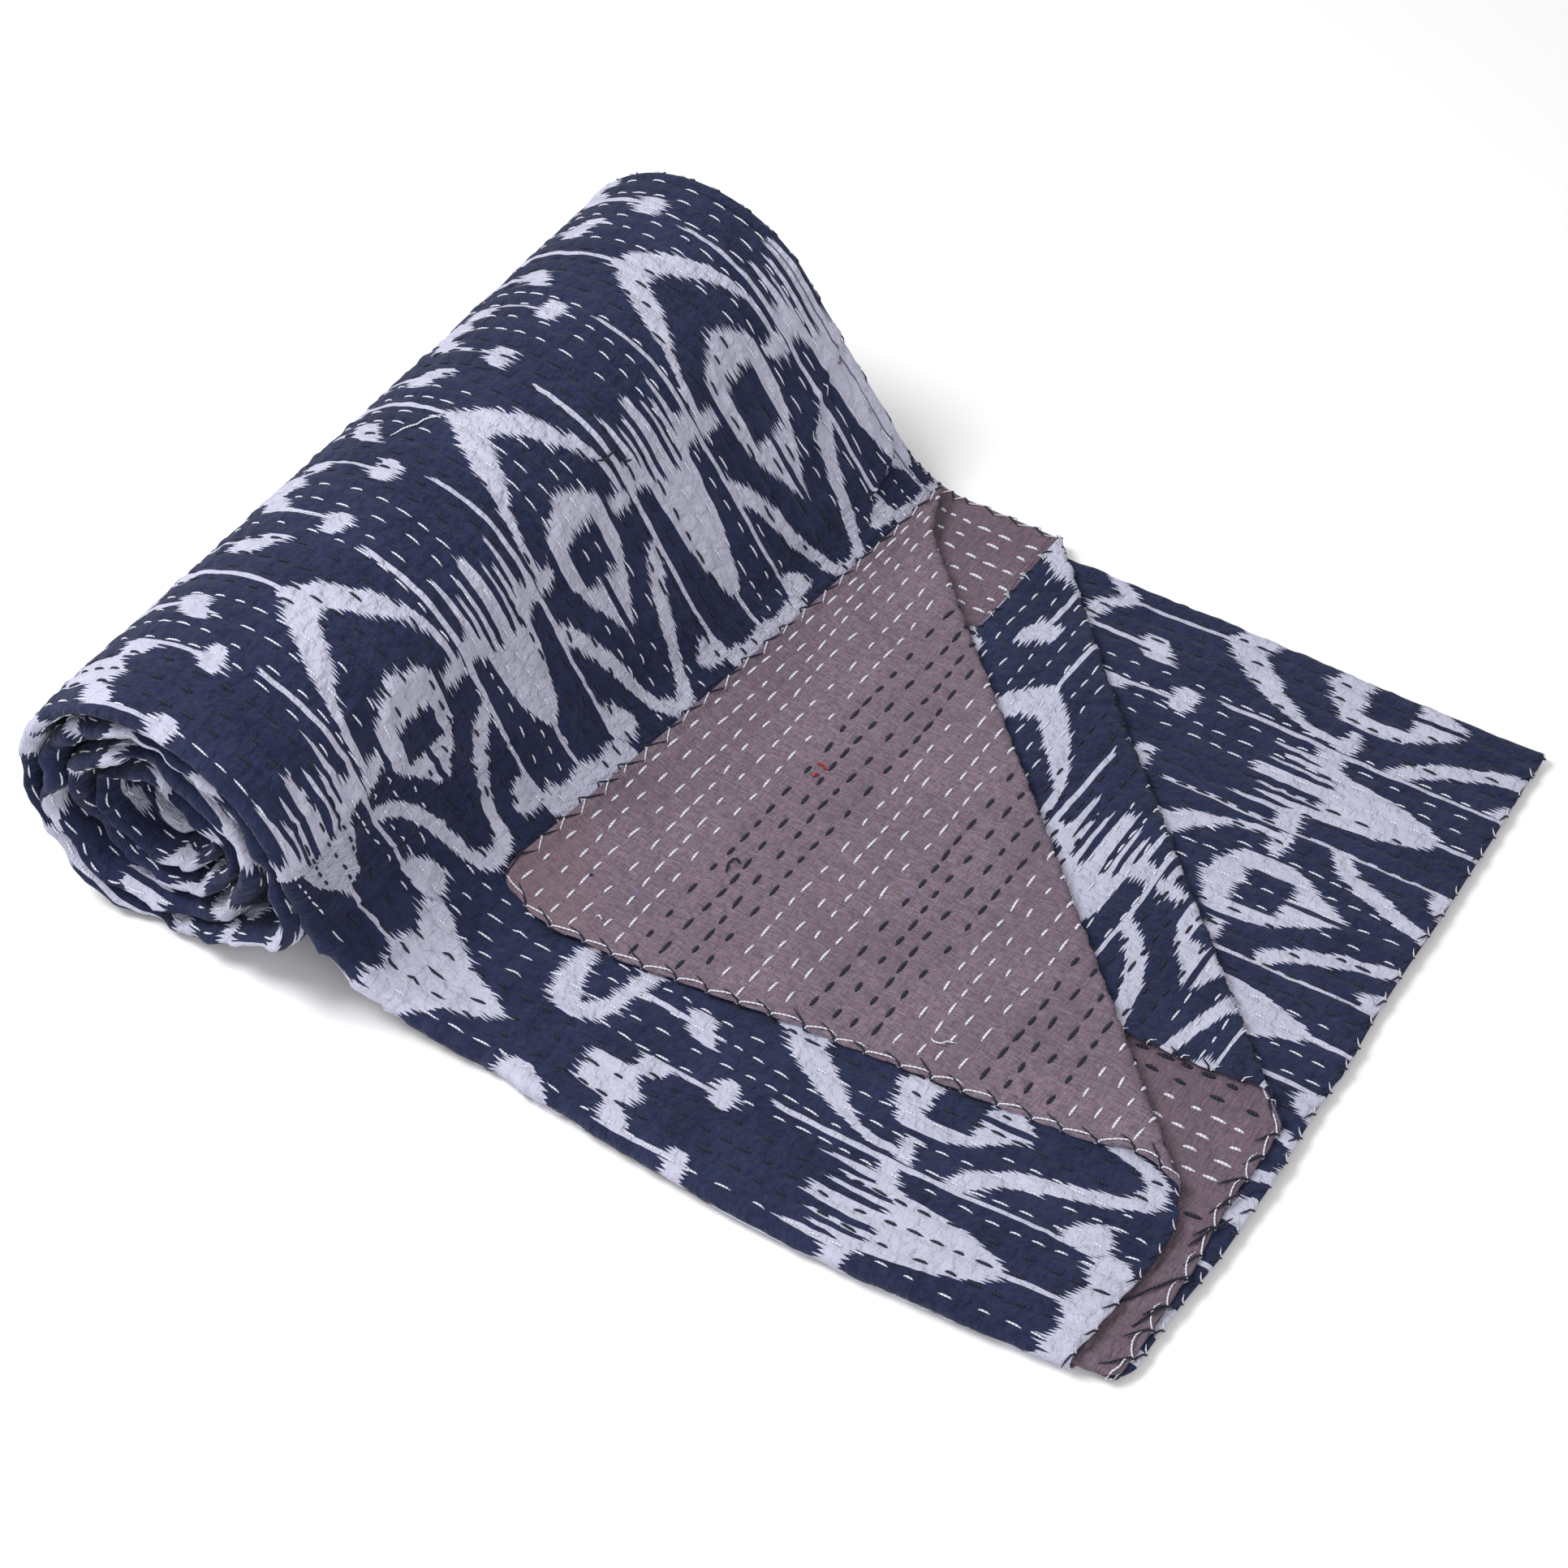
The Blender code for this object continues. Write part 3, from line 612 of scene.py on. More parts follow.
# ---- node helpers
class Nodes:
    """Short ways to add nodes to a material."""

    def __init__(self, name):
        self.material = bpy.data.materials.new(name)
        self.material.use_nodes = True
        self.tree = self.material.node_tree
        self.shader = self.tree.nodes["Principled BSDF"]

    def put(self, socket, value):
        if isinstance(value, bpy.types.NodeSocket):
            self.tree.links.new(value, socket)
        else:
            socket.default_value = value

    def add(self, kind, values=(), output=0, **settings):
        """A node with its sockets, by number or by name, set or linked; gives one of its outputs."""
        node = self.tree.nodes.new("ShaderNode" + kind)
        for key, value in settings.items():
            setattr(node, key, value)
        for key, value in values.items() if isinstance(values, dict) else enumerate(values):
            self.put(node.inputs[key], value)
        return node.outputs[output]

    def math(self, operation, *values):
        return self.add("Math", values, operation=operation)

    def scaled(self, value, factor, shift=0.0):
        return self.math("MULTIPLY_ADD", value, factor, shift)

    def minus(self, first, second):
        return self.math("SUBTRACT", first, second)

    def mix(self, share, first, second):
        return self.add("Mix", {0: share, 6: first, 7: second}, 2, data_type="RGBA")

    def smoothstep(self, value, low, high, to_low=0.0, to_high=1.0):
        values = (value, low, high, to_low, to_high)
        return self.add("MapRange", values, interpolation_type="SMOOTHSTEP")

    def tint(self, base, mask, low, high, most, colour):
        """Lays a colour over the base as the mask runs from low to high."""
        return self.mix(self.smoothstep(mask, low, high, 0.0, most), base, colour)

    def finish(self, sockets):
        """Sets or links the shader's sockets."""
        for name, value in sockets.items():
            self.put(self.shader.inputs[name], value)
        return self.material

    def uv(self, layer):
        across, along, _ = self.add("SeparateXYZ", [self.add("UVMap", uv_map=layer)]).node.outputs
        return across, along

    def noise(self, u, v, scale_u, scale_v, detail=2.0, roughness=0.5, seed=0.0):
        at = (self.math("MULTIPLY", u, scale_u), self.math("MULTIPLY", v, scale_v), seed)
        at = self.add("CombineXYZ", at)
        return self.add("TexNoise", {"Vector": at, "Scale": 1.0, "Detail": detail, "Roughness": roughness})

    def curve(self, value, points):
        """A curve of straight runs through points (x, y), both from 0 to 1."""
        node = self.add("FloatCurve", {"Value": value}).node
        line = node.mapping.curves[0]
        while len(line.points) < len(points):
            line.points.new(0.5, 0.5)
        for point, place_at in zip(line.points, points):
            point.location = place_at
            point.handle_type = "VECTOR"
        node.mapping.update()
        return node.outputs[0]

    def stray(self, value, noise, most):
        """A value moved about by a noise, by half of most each way."""
        return self.scaled(noise, most, self.minus(value, most / 2))

    def bump(self, height, distance, strength=1.0, onto=None):
        values = {"Height": height, "Distance": distance, "Strength": strength}
        return self.add("Bump", values if onto is None else {**values, "Normal": onto})

    def weave(self, u, v, pitch):
        """Over and under threads as a height from 0 to 1."""
        across = self.math("SINE", self.math("MULTIPLY", u, TAU / pitch))
        along = self.math("SINE", self.math("MULTIPLY", v, TAU / pitch))
        return self.scaled(self.math("MULTIPLY", across, along), 0.5, 0.5)


# ---- the ikat print, charted
# Each shape is a run of rows (distance from its axis, top, bottom) in millimetres, along the quilt from
# the middle of the hollow square. Axis A runs through the squares, axis B lies midway between them.
SHUT, SHUT_STEP = 0.03, 0.0006
IKAT_SHAPES = [
    ("A", "white", [
        (0, 123, 88), (6, 116, 85), (18, 103, 69), (30, 84, 55), (36, 72, 47), (40.5, 60, 38),
        (42.5, 54, 14), (46.5, 36, 14),
    ]),
    ("A", "white", [(31, 19, 8), (45, 21, 4), (49.5, 18, 6)]),
    ("A", "white", [(0, 190, 110), (1.5, 190, 110)]),
    ("A", "white", [
        (0, 196, 176), (10, 211, 194), (22, 216, 199), (44, 220, 204), (58, 234, 210), (68, 243, 226),
    ]),
    ("A", "white", [(12, 249, 243), (26, 257, 240), (44, 257, 236), (58, 254, 226), (68, 244, 226)]),
    ("B", "white", [(0, 208, 160), (10.5, 208, 172), (12, 184, 166), (20, 182, 156), (26, 178, 158)]),
    ("B", "white", [(23, 170, 125), (25.8, 170, 125)]),
    ("B", "white", [(17, 127, 115), (20, 131, 112), (33, 131, 112), (36, 126, 116)]),
    ("A", "white", [(20, 166, 150), (24, 170, 147), (36, 166, 140), (40, 155, 138)]),
    ("A", "white", [(28, 206, 160), (30.8, 206, 160)]),
    ("A", "white", [(50.8, 98, -100), (54, 98, -100)]),
    ("B", "white", [
        (0, 54, -75), (4.2, 54, -74), (5, 4, -72), (8.5, 4, -64), (9.2, 47, -62), (11.5, 47, -55),
        (12.2, 5, -53), (15, 6, -45), (15.8, 42, -42), (18, 42, -31), (19, 18, -20), (20.5, 24, 2),
        (22.5, 55, 4), (25, 55, 6), (25.8, 26, 6), (34, 26, 8),
    ]),
    ("B", "white", [(0, -60, -115), (1.6, -60, -115)]),
    ("B", "white", [
        (0, -108, -184), (7, -113, -172), (17, -115, -157), (25, -110, -146), (33, -108, -138),
        (38, -118, -130),
    ]),
    ("A", "white", [(31, -106, -110), (36, -95, -116), (43, -86, -120), (50, -86, -119), (55, -98, -113)]),
    ("A", "white", [
        (0, -114, -131), (10, -106, -129), (15, -86, -121), (21, -60, -102), (28, -42, -78),
        (36, -27, -54), (45, -18, -39), (53.5, -14, -30),
    ]),
    ("A", "white", [(0, 46, -56), (13.5, 38, -34), (21.5, 33, -20), (26.8, 27, -6)]),
    ("A", "navy", [(0, 19, -17), (15, 17, -17)]),
    ("A", "navy", [(0, -10, -62), (1.9, -10, -62)]),
    ("B", "navy", [(29, 2, -120), (33.8, 6, -100)]),
]
VALUE_LOW, VALUE_SPAN = -0.25, 0.6
# Pitch and mean length of the fine and the coarse spikes, and how far a shape's ends draw in for them
SPIKES = [(0.0019, 0.0085), (0.0043, 0.005)]
SPIKE_SINK = 0.0056
PRINT_EDGE = 0.0005


def chart_curves(rows):
    """The top and bottom of a shape as curve points, closed off on both sides of its rows."""
    half = REPEAT_ACROSS / 2
    rows = metres(rows).tolist()
    for row, outer, step in ((rows[0], 0.0, -SHUT_STEP), (rows[-1], half, SHUT_STEP)):
        if row[0] == outer:
            continue
        middle = (row[1] + row[2]) / 2
        shut = [(row[0] + step, middle - SHUT, middle + SHUT), (outer, middle - SHUT, middle + SHUT)]
        rows = rows + shut if step > 0 else shut[::-1] + rows
    tops = [(distance / half, (top - VALUE_LOW) / VALUE_SPAN) for distance, top, _ in rows]
    bottoms = [(distance / half, (bottom - VALUE_LOW) / VALUE_SPAN) for distance, _, bottom in rows]
    return tops, bottoms


def spikes(nodes, across, seeds):
    """Feathered ends of the dyed threads: fine and coarse triangular spikes of random length."""
    found = []
    for (pitch, most), seed in zip(SPIKES, seeds):
        cell = nodes.scaled(across, 1 / pitch, seed)
        rise = nodes.math("PINGPONG", cell, 0.5)
        chance = nodes.add("TexWhiteNoise", {"W": nodes.math("FLOOR", cell)}, noise_dimensions="1D")
        found.append(nodes.math("MULTIPLY", rise, nodes.scaled(chance, 1.5 * most, 0.5 * most)))
    return nodes.math("ADD", *found)


def ikat_amount(nodes, across, along):
    """How white the print is at a point, from 0 to 1."""
    across_bent = nodes.stray(across, nodes.noise(across, along, 9, 9, 1, seed=3), 0.007)
    along_bent = nodes.stray(along, nodes.noise(across, along, 14, 11, 1, seed=7), 0.016)
    ragged = nodes.noise(across_bent, along, 420, 60, 1, seed=1)
    across_bent = nodes.stray(across_bent, ragged, 0.0008)
    half = REPEAT_ACROSS / 2
    from_a = nodes.math("DIVIDE", nodes.math("ABSOLUTE", nodes.math("WRAP", across_bent, half, -half)), half)
    distance = {"A": from_a, "B": nodes.minus(1.0, from_a)}
    t = nodes.math("WRAP", along_bent, WRAP_LOW + REPEAT_ALONG, WRAP_LOW)
    top_spikes = spikes(nodes, across, (0.0, 31.3))
    low_spikes = spikes(nodes, across, (77.7, 53.9))
    above = nodes.minus(nodes.math("ADD", top_spikes, VALUE_LOW - SPIKE_SINK), t)
    below = nodes.math("ADD", nodes.math("ADD", low_spikes, -VALUE_LOW - SPIKE_SINK), t)
    found = -1.0
    for axis, colour, rows in IKAT_SHAPES:
        tops, bottoms = chart_curves(rows)
        to_top = nodes.scaled(nodes.curve(distance[axis], tops), VALUE_SPAN, above)
        to_bottom = nodes.scaled(nodes.curve(distance[axis], bottoms), -VALUE_SPAN, below)
        inside = nodes.math("MINIMUM", to_top, to_bottom)
        if colour == "white":
            found = nodes.math("MAXIMUM", found, inside)
        else:
            found = nodes.math("MINIMUM", found, nodes.math("MULTIPLY", inside, -1.0))
    return nodes.smoothstep(found, -PRINT_EDGE, PRINT_EDGE)


def printed_cotton():
    nodes = Nodes("printed_cotton")
    u, s = nodes.uv("Cloth")
    white = ikat_amount(nodes, *nodes.uv("Print"))
    cloud = nodes.noise(u, s, 26, 22, 3, 0.6, seed=2)
    fade = nodes.noise(u, s, 260, 120, 3, 0.65, seed=4)
    strand = nodes.noise(u, s, 2200, 160, 1, seed=5)
    mottle = nodes.scaled(fade, 0.5, nodes.math("MULTIPLY", cloud, 0.5))
    navy = nodes.tint((0.0092, 0.0125, 0.0365, 1), mottle, 0.3, 0.72, 1.0, (0.0225, 0.0288, 0.0745, 1))
    navy = nodes.tint(navy, strand, 0.35, 0.8, 0.3, (0.036, 0.044, 0.108, 1))
    pale = nodes.tint((0.41, 0.41, 0.525, 1), mottle, 0.28, 0.75, 1.0, (0.53, 0.53, 0.655, 1))
    pale = nodes.tint(pale, strand, 0.4, 0.85, 0.25, (0.34, 0.342, 0.455, 1))
    printed = nodes.mix(white, navy, pale)
    # Painted shadow: a thin dark line along the step where the first hem is folded under
    hem_fold_shadow = nodes.math("ABSOLUTE", nodes.minus(u, HEM_FOLD + 0.0008))
    printed = nodes.tint(printed, hem_fold_shadow, 0.0009, 0.0003, 0.75, (0.006, 0.008, 0.02, 1))
    surface = nodes.bump(nodes.noise(u, s, 115, 150, 2, 0.5, seed=8), 0.004, 1)
    crinkle = nodes.noise(u, s, 330, 240, 3, 0.6, seed=9)
    surface = nodes.bump(crinkle, 0.0022, 0.9, onto=surface)
    surface = nodes.bump(nodes.weave(u, s, 0.00062), 0.00012, 0.5, onto=surface)
    looks = {"Roughness": 0.86, "Sheen Weight": 0.07, "Sheen Roughness": 0.45, "Specular IOR Level": 0.12}
    return nodes.finish({"Base Color": printed, "Normal": surface, **looks})


def mauve_cotton():
    nodes = Nodes("mauve_cotton")
    u, s = nodes.uv("Cloth")
    cloud = nodes.noise(u, s, 18, 15, 3, 0.6, seed=12)
    warp = nodes.noise(u, s, 760, 130, 3, 0.75, seed=13)
    weft = nodes.noise(u, s, 130, 760, 3, 0.75, seed=14)
    slub = nodes.noise(u, s, 85, 760, 2, 0.6, seed=15)
    speck = nodes.noise(u, s, 640, 640, 0, seed=16)
    cross = nodes.scaled(warp, 0.5, nodes.math("MULTIPLY", weft, 0.5))
    # The first corner is warmer; the lower layer is darker, painted shade from the raised first flap and the
    # roll
    corner = nodes.math("ADD", u, nodes.math("MULTIPLY", s, 0.7))
    warm = nodes.scaled(nodes.noise(u, s, 30, 30, 2, seed=20), 0.05, corner)
    ground = (0.168, 0.121, 0.16, 1)
    for mask, low, high, most, colour in (
        (cloud, 0.25, 0.75, 1.0, (0.222, 0.163, 0.208, 1)),
        (cross, 0.4, 0.62, 0.85, (0.092, 0.064, 0.09, 1)),
        (slub, 0.56, 0.72, 0.45, (0.3, 0.228, 0.275, 1)),
        (warm, 0.125, 0.055, 0.5, (0.19, 0.122, 0.135, 1)),
        # painted shade on the lower layer, under the raised first flap and the roll
        (u, 1.6, 1.7, 0.34, (0.088, 0.058, 0.072, 1)),
        (speck, 0.68, 0.78, 0.55, (0.075, 0.048, 0.062, 1)),
    ):
        ground = nodes.tint(ground, mask, low, high, most, colour)
    # Traces of blue marking lines beside the rows
    row = nodes.minus(u, ROW_START)
    line = nodes.math("ABSOLUTE", nodes.math("WRAP", row, MARK_PITCH / 2, -MARK_PITCH / 2))
    pencil = nodes.smoothstep(nodes.noise(u, s, 9, 210, 1, seed=17), 0.6, 0.72)
    pencil = nodes.math("MULTIPLY", pencil, nodes.smoothstep(line, 0.0016, 0.0006, 0.0, 0.35))
    ground = nodes.mix(pencil, ground, (0.15, 0.16, 0.33, 1))
    surface = nodes.bump(nodes.noise(u, s, 48, 165, 3, 0.62, seed=19), 0.0046, 0.9)
    crinkle = nodes.noise(u, s, 210, 300, 3, 0.6, seed=18)
    surface = nodes.bump(crinkle, 0.001, 0.6, onto=surface)
    surface = nodes.bump(cross, 0.0006, 0.9, onto=surface)
    looks = {"Roughness": 0.9, "Sheen Weight": 0.05, "Sheen Roughness": 0.5, "Specular IOR Level": 0.22}
    return nodes.finish({"Base Color": ground, "Normal": surface, **looks})


def thread(name, dark, light):
    """Soft plied cotton thread."""
    nodes = Nodes(name)
    u, s = nodes.uv("Twist")
    ply = nodes.math("SINE", nodes.scaled(u, TAU, nodes.math("MULTIPLY", s, TAU / TWIST_PITCH)))
    looks = {"Roughness": 0.8, "Sheen Weight": 0.04, "Specular IOR Level": 0.3}
    # Painted shade: the colour follows the ply's height, darker in the grooves between the plies
    colour = nodes.mix(nodes.smoothstep(ply, -0.9, 0.6), dark, light)
    return nodes.finish({"Base Color": colour, "Normal": nodes.bump(ply, 0.00022, 0.7), **looks})


# ---- thread
def tubes(name, runs, radius, material, flat, sides=5):
    """Short threads as one mesh. A run is (points, outward directions); its ends close to a point."""
    points = np.array([run[0] for run in runs])
    outward = np.array([run[1] for run in runs])
    count, rings = points.shape[:2]
    along = np.gradient(points, axis=1)
    along /= np.linalg.norm(along, axis=2)[..., None] + 1e-12
    across = np.cross(along, outward)
    across /= np.linalg.norm(across, axis=2)[..., None] + 1e-12
    outward = np.cross(across, along)
    t = np.linspace(0, 1, rings)
    swell_by = np.clip(np.minimum(t, 1 - t) * rings * 0.76, 0.36, 1)
    angle = TAU * (np.arange(sides) + 0.5) / sides
    ring = (
        across[:, :, None] * np.cos(angle)[None, None, :, None]
        + flat * outward[:, :, None] * np.sin(angle)[None, None, :, None]
    )
    verts = points[:, :, None] + ring * (radius * swell_by)[None, :, None, None]
    index = np.arange(count * rings * sides).reshape(count, rings, sides)
    following = np.roll(index, -1, axis=2)
    quads = [index[:, :-1], following[:, :-1], following[:, 1:], index[:, 1:]]
    quads = np.stack(quads, axis=-1).reshape(-1, 4)
    length = np.linalg.norm(np.diff(points, axis=1), axis=2).sum(axis=1)
    twist_s = (t[None, :] * length[:, None] + np.arange(count)[:, None] * 0.0137)[:, :, None]
    twist = np.stack(np.broadcast_arrays(np.arange(sides) / sides, twist_s), axis=-1).reshape(-1, 2)
    caps = np.concatenate([index[:, 0, ::-1], index[:, -1]])
    return new_mesh(name, verts.reshape(-1, 3), quads, {"Twist": twist}, material, caps)


def outward_at(u, s, side):
    step = 0.0015
    here = surface_points(u, s, side)
    du = surface_points(u + step, s, side) - here
    ds = surface_points(u, s + step, side) - here
    normal = np.cross(ds, du) * side
    return normal / (np.linalg.norm(normal, axis=-1)[:, None] + 1e-12)


def running_stitches(side, u_low, u_high, s_low, s_high):
    """Stitches on one side within a window, as {thread: [(u points, s points)]}."""
    found = {"light": [], "dark": []}
    first_row = max(int(math.ceil((u_low - ROW_START) / ROW_PITCH)), 0)
    last_row = int((min(u_high, WIDTH - 0.006) - ROW_START) / ROW_PITCH)
    for k in range(first_row, last_row + 1):
        line = np.arange(s_low, s_high, 0.0005)
        cycle = stitch_cycle(k, line)
        whole = np.arange(math.ceil(cycle[0]), math.floor(cycle[-1]))
        middles = np.interp(whole + STITCH_MIDDLE[side], cycle, line)
        chance = hash2(middles * 91.7, k, 3 + side)
        half = STITCH_PITCH * STITCH_SHARE / 2 * (0.72 + 0.5 * chance)
        tilt = 0.0007 * (hash2(middles * 53.1, k, 9) - 0.5)
        t = np.linspace(-1, 1, 5)
        s = middles[:, None] + half[:, None] * t
        u = row_centre(k, s) + tilt[:, None] * t
        keep = s[:, 0] > end_inset(u[:, 0]) + 0.004
        found[row_band(k)].extend(zip(u[keep], s[keep]))
    return found


def sewn_runs(windows, band):
    """Running stitches of one thread in all the windows."""
    runs = []
    for side, *window in windows:
        rows = running_stitches(side, *window)[band]
        if not rows:
            continue
        u, s = np.array(rows).transpose(1, 0, 2)
        proud = np.broadcast_to(STITCH_PROUD - STITCH_DIP * np.linspace(-1, 1, u.shape[1]) ** 4, u.shape)
        points = surface_points(u.ravel(), s.ravel(), side, proud.ravel())
        normals = outward_at(u.ravel(), s.ravel(), side)
        runs.extend(zip(points.reshape(*u.shape, 3), normals.reshape(*u.shape, 3)))
    return runs


# Steps of one whip stitch: millimetres in from the edge, share of the pitch along it, side of the cloth.
# Along the ends the light thread lies in low arcs on the edge and the dark one crosses it slantwise;
# along the sides both make an even zigzag. Little of either shows on the printed side.
END_WHIPS = {
    "light": [
        (2.0, -0.22, 1), (0.6, -0.06, 1), (-0.6, 0, 0), (0.8, 0.07, -1), (2.2, 0.22, -1), (3.3, 0.46, -1),
        (3.2, 0.7, -1), (2.0, 0.93, -1),
    ],
    "dark": [
        (7.4, -0.62, -1), (5.2, -0.44, -1), (2.9, -0.24, -1), (0.8, -0.06, -1), (-0.9, 0.03, 0),
        (0.7, 0.12, 1), (2.0, 0.26, 1), (3.6, 0.42, 1),
    ],
}
SIDE_WHIPS = {
    "edge": [
        (5.6, 0.56, -1), (4.0, 0.4, -1), (2.2, 0.22, -1), (0.5, 0.04, -1), (-2.2, -0.08, 0),
        (-2.9, -0.15, 0), (0.5, -0.21, 1), (2.0, -0.3, 1),
    ],
    "inner": [
        (6.4, 0.5, -1), (4.2, 0.66, -1), (2.2, 0.83, -1), (0.6, 0.98, -1), (-0.6, 1.02, 0), (0.5, 1.05, 1),
        (1.1, 1.12, 1), (1.6, 1.18, 1),
    ],
}
# Along the sides, how far a stitch may stand out past the edge on the loose end, and round the roll
WHIP_OUT_LOOSE, WHIP_OUT_WOUND, WHIP_LOOSE_S = -0.01, -0.0006, 0.42


def whip_runs(pattern, axis, far, low, high):
    """Whip stitches along one edge of the quilt."""
    base = np.arange(low, high, WHIP_PITCH)
    jitter = 0.003 * (hash2(base * 71.0, far, 15) - 0.5)
    reach_in = 1 + 0.7 * (hash2(base * 37.0, far, 16) - 0.45)
    reach_in = np.where((base > STARTS[6]) & (axis == "s"), 1.25 * reach_in, reach_in)
    inset, onward, side = np.array(pattern).T
    inward = inset * 0.001 * reach_in[:, None]
    along = (base + jitter)[:, None] + onward * WHIP_PITCH
    side = np.broadcast_to(side, along.shape)
    if axis == "u":
        most_out = np.where(base < WHIP_LOOSE_S, WHIP_OUT_LOOSE, WHIP_OUT_WOUND)
        inward = np.maximum(inward, most_out[:, None])
        if far:
            inward = np.where(side > 0, 2.0 * inward, inward)
        u, s = WIDTH - inward if far else inward, along
    else:
        u = np.clip(along, 0.0, WIDTH)
        s = LENGTH - inward if far else end_inset(u) + inward
    w = side * (CLOTH / 2 * np.sqrt(np.clip(inward / HEM_ROUND, 0, 1)) + WHIP_PROUD)
    points = cloth_points(u.ravel(), s.ravel(), w.ravel()).reshape(*u.shape, 3)
    shift = -0.003 if far else 0.003
    inner = (u + shift, s) if axis == "u" else (u, s + shift)
    core = cloth_points(inner[0].ravel(), inner[1].ravel(), 0 * w.ravel()).reshape(*u.shape, 3)
    return list(zip(points, points - core))


def hem_runs(band):
    """Whip stitches of one thread round the whole hem."""
    runs = []
    for far in (0, 1):
        slant = "edge" if (band == "light") == bool(far) else "inner"
        runs += whip_runs(SIDE_WHIPS[slant], "u", far, 0.03, LENGTH - 0.03)
        runs += whip_runs(END_WHIPS[band], "s", far, 0.004, WIDTH - 0.018)
    return runs


def stray_runs(band):
    """Knots, tails and long loose stitches of one thread."""
    runs = []
    for _, side, marks in (row for row in STRAYS if row[0] == band):
        even = np.linspace(0, len(marks) - 1, 9)
        u, s, proud = (np.interp(even, np.arange(len(marks)), column) for column in metres(marks).T)
        runs.append((surface_points(u, s, side, proud), np.tile((0.0, 0.0, 1.0), (9, 1))))
    return runs


# ---- the quilt
# Where the sheets change to the wound ones, and where the printed side's full stitching ends, on the path
SPLIT_Q, STITCHED_Q = 3.62, 3.66
SPLIT_S = length_at(SPLIT_Q)
UNDER_U = float(STARTS[2]) + 0.06


def build_sheets(face, backing):
    """The printed side and the backing, each in three sheets that meet where nothing shows."""
    fold_1, layer_2, fold_2, layer_3, fold_3, layer_4 = STARTS[1:7]
    hem = [(0.0, 0.0004), (0.0024, 0.0012)]
    far_hem = [(WIDTH - 0.006, 0.0012), (WIDTH - 0.0024, 0.0004)]
    last = [(LENGTH - 0.006, 0.0012), (LENGTH - 0.0024, 0.0006)]
    outer_fold = [(fold_1, 0.0015), (layer_2, 0.006)]
    backing_loose_s = stations(*hem, (0.006, 0.003), (0.5, 0.01), (REACH, 0.012), end=SPLIT_S)
    grids = {
        "print_upper": (
            stations(*hem, (0.006, 0.0028), *outer_fold, end=UNDER_U),
            stations(*hem, (0.006, 0.0031), (0.5, 0.0018), (0.535, 0.0031), end=SPLIT_S),
        ),
        "print_under": (
            stations(
                (UNDER_U, 0.03), (fold_2 - 0.03, 0.005), (fold_2, 0.0009), (layer_3, 0.0029),
                (u_of(4, -0.12), 0.018), (fold_3 - 0.022, 0.0022), (fold_3, 0.0012), (layer_4, 0.0022),
                (layer_4 + 0.022, 0.018), (u_of(6, -0.1), 0.0029), *far_hem, end=WIDTH,
            ),
            stations(*hem, (0.006, 0.003), (0.44, 0.008), (REACH, 0.01), end=SPLIT_S),
        ),
        "backing_upper": (
            stations(*hem, (0.006, 0.0029), (0.455, 0.015), (fold_1, 0.0015), (layer_2, 0.012), end=UNDER_U),
            backing_loose_s,
        ),
        "backing_under": (
            stations(
                (UNDER_U, 0.04), (fold_2 - 0.02, 0.01), (fold_2, 0.0012), (layer_3, 0.04),
                (fold_3 - 0.022, 0.0022), (fold_3, 0.0012), (layer_4, 0.0022), (layer_4 + 0.022, 0.012),
                (u_of(6, -0.17), 0.0029), *far_hem, end=WIDTH,
            ),
            backing_loose_s,
        ),
        "print_wound": (
            stations(
                *hem, (0.006, 0.004), (0.045, 0.045), (fold_1 - 0.12, 0.0042), (fold_1, 0.0015),
                (layer_2, 0.005), (layer_2 + 0.05, 0.05), (fold_2 - 0.05, 0.005), (fold_2, 0.0009),
                (layer_3, 0.005), (layer_3 + 0.05, 0.06), (fold_3 - 0.02, 0.01), (fold_3, 0.0012),
                (layer_4, 0.06), (WIDTH - 0.045, 0.004), *far_hem, end=WIDTH,
            ),
            stations((SPLIT_S, 0.0034), *last, end=LENGTH),
        ),
        "backing_wound": (
            stations(
                *hem, (0.006, 0.005), (0.04, 0.06), (fold_1, 0.0045), (layer_2, 0.06),
                (fold_2 - 0.03, 0.01), (fold_2, 0.0012), (layer_3, 0.06), (fold_3, 0.0012),
                (layer_4, 0.06), (WIDTH - 0.04, 0.005), *far_hem, end=WIDTH,
            ),
            stations((SPLIT_S, 0.006), *last, end=LENGTH),
        ),
    }
    sides = {"print": (1, face), "backing": (-1, backing)}
    return {name: sheet_grid(name, *grid, *sides[name.split("_")[0]]) for name, grid in grids.items()}


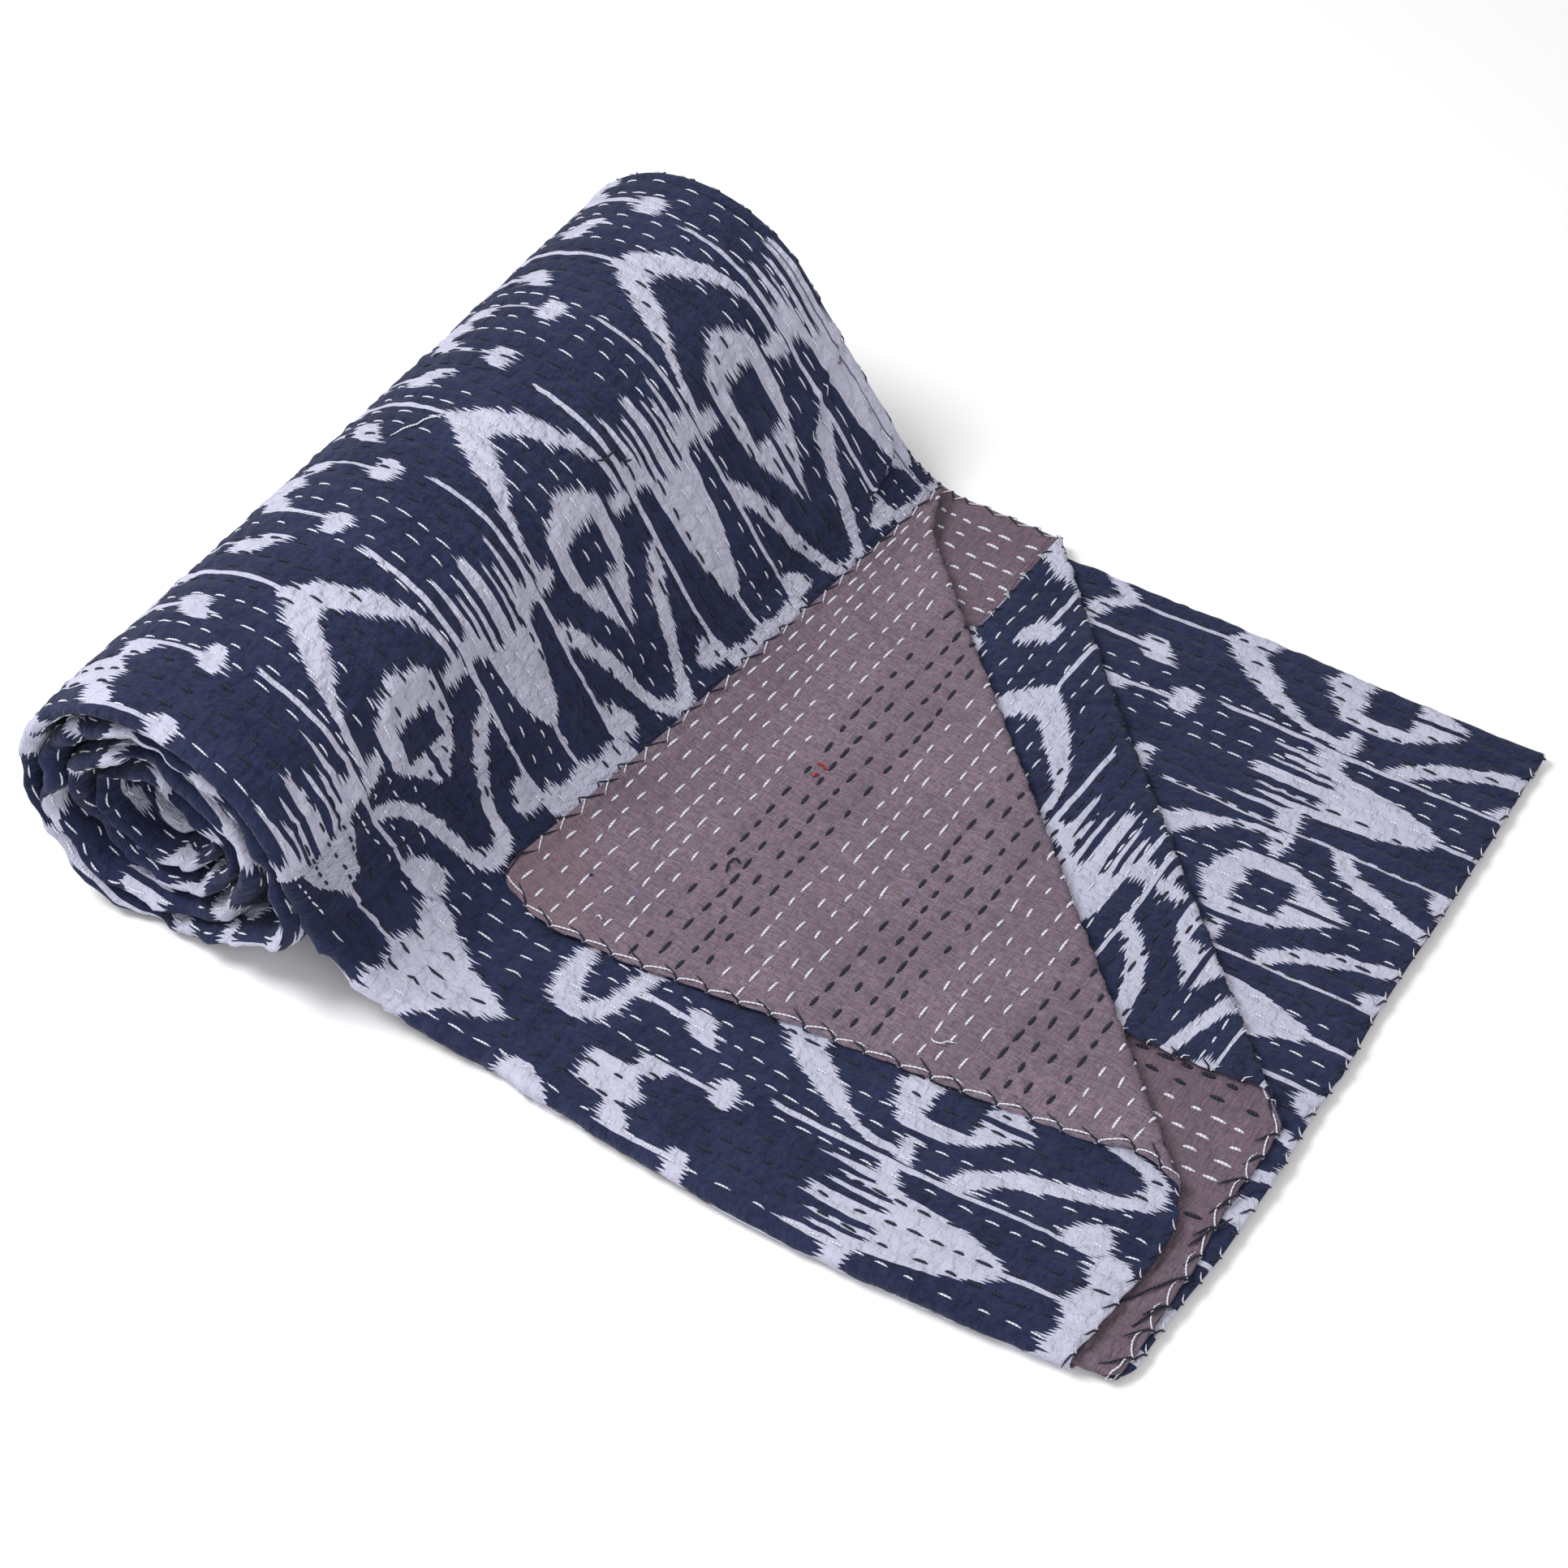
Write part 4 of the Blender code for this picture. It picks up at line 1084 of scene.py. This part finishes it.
def build_quilt():
    face, backing = printed_cotton(), mauve_cotton()
    threads = {
        "light": thread("light_thread", (0.5, 0.505, 0.58, 1), (0.74, 0.745, 0.83, 1)),
        "dark": thread("dark_thread", (0.005, 0.006, 0.014, 1), (0.018, 0.021, 0.042, 1)),
        "red": thread("red_thread", (0.3, 0.01, 0.02, 1), (0.46, 0.02, 0.035, 1)),
    }
    sheets = build_sheets(face, backing)
    # Where each set of running stitches lies: side, u from and to, s from and to
    windows = {
        "print_stitches": [
            (1, 0.0, STARTS[2] + 0.03, 0.0, length_at(STITCHED_Q)),
            (1, STARTS[4], u_of(4, -0.11), 0.0, 0.42),
            (1, u_of(6, -0.1), WIDTH, 0.0, 0.44),
        ],
        "backing_stitches": [(-1, 0.0, 0.45, 0.0, 0.5), (-1, u_of(6, -0.165), WIDTH, 0.0, 0.56)],
        "eye_stitches": [(1, STARTS[1] - 0.02, STARTS[2] + 0.02, length_at(STITCHED_Q), LENGTH - 0.02)],
    }
    stitches = []
    for name, radii in THREAD_RADII.items():
        for band, radius in radii.items():
            if name in windows:
                runs, flat = sewn_runs(windows[name], band), 0.75
            else:
                runs, flat = {"hem_stitches": hem_runs, "stray": stray_runs}[name](band), 1.0
            stitches.append(tubes(f"{name}_{band}", runs, radius, threads[band], flat))
    slots = {"print": "printed_cotton", "backing": "mauve_cotton"}
    slots |= {"light": "light_thread", "dark": "dark_thread"}
    for piece in [*sheets.values(), *stitches]:
        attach(piece, "root")
    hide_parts("roll")
    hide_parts("loose_face")
    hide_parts("loose_backing")


# ---- floor, light, camera
def add_floor():
    bpy.ops.mesh.primitive_plane_add(size=14, location=(0, 0, -0.0006))
    floor = bpy.context.object
    floor.name = "floor"
    nodes = Nodes("floor")
    looks = {"Base Color": (0.93, 0.93, 0.935, 1), "Roughness": 0.9, "Specular IOR Level": 0.1}
    floor.data.materials.append(nodes.finish(looks))


def add_light(name, location, target, size, power):
    light = bpy.data.lights.new(name, "AREA")
    light.size = size
    light.energy = power
    made = bpy.data.objects.new(name, light)
    made.location = location
    made.rotation_euler = (Vector(target) - Vector(location)).to_track_quat("-Z", "Y").to_euler()
    bpy.context.scene.collection.objects.link(made)


def add_lights():
    world = bpy.data.worlds.new("studio")
    world.use_nodes = True
    world.node_tree.nodes["Background"].inputs[0].default_value = (1.0, 1.0, 1.0, 1)
    world.node_tree.nodes["Background"].inputs[1].default_value = 0.62
    bpy.context.scene.world = world
    add_light("key", (-0.7, 1.3, 2.0), (0, 0, 0), 1.1, 50)
    add_light("fill", (-1.6, -1.5, 1.5), (0, 0, 0), 1.5, 16)


CAMERA_PLACE = (-1.3279, -0.7954, 1.5769)
CAMERA_ELEVATION = 0.787709
CAMERA_HEADING = 0.549393
CAMERA_ROLL = 0.0182189
CAMERA_LENS = 82.04


def add_camera():
    level = math.cos(CAMERA_ELEVATION)
    forward = Vector((
        math.cos(CAMERA_HEADING) * level, math.sin(CAMERA_HEADING) * level, -math.sin(CAMERA_ELEVATION)
    ))
    right = forward.cross(Vector((0, 0, 1))).normalized()
    up = right.cross(forward)
    turned_right = math.cos(CAMERA_ROLL) * right + math.sin(CAMERA_ROLL) * up
    turned_up = math.cos(CAMERA_ROLL) * up - math.sin(CAMERA_ROLL) * right
    camera = bpy.data.cameras.new("camera")
    camera.lens = CAMERA_LENS
    camera.sensor_width = 36
    made = bpy.data.objects.new("camera", camera)
    turn = Matrix((turned_right, turned_up, -forward)).transposed().to_4x4()
    made.matrix_world = Matrix.Translation(CAMERA_PLACE) @ turn
    bpy.context.scene.collection.objects.link(made)
    bpy.context.scene.camera = made


build_quilt()
add_floor()
add_lights()
add_camera()
bpy.context.scene.view_settings.view_transform = "Standard"
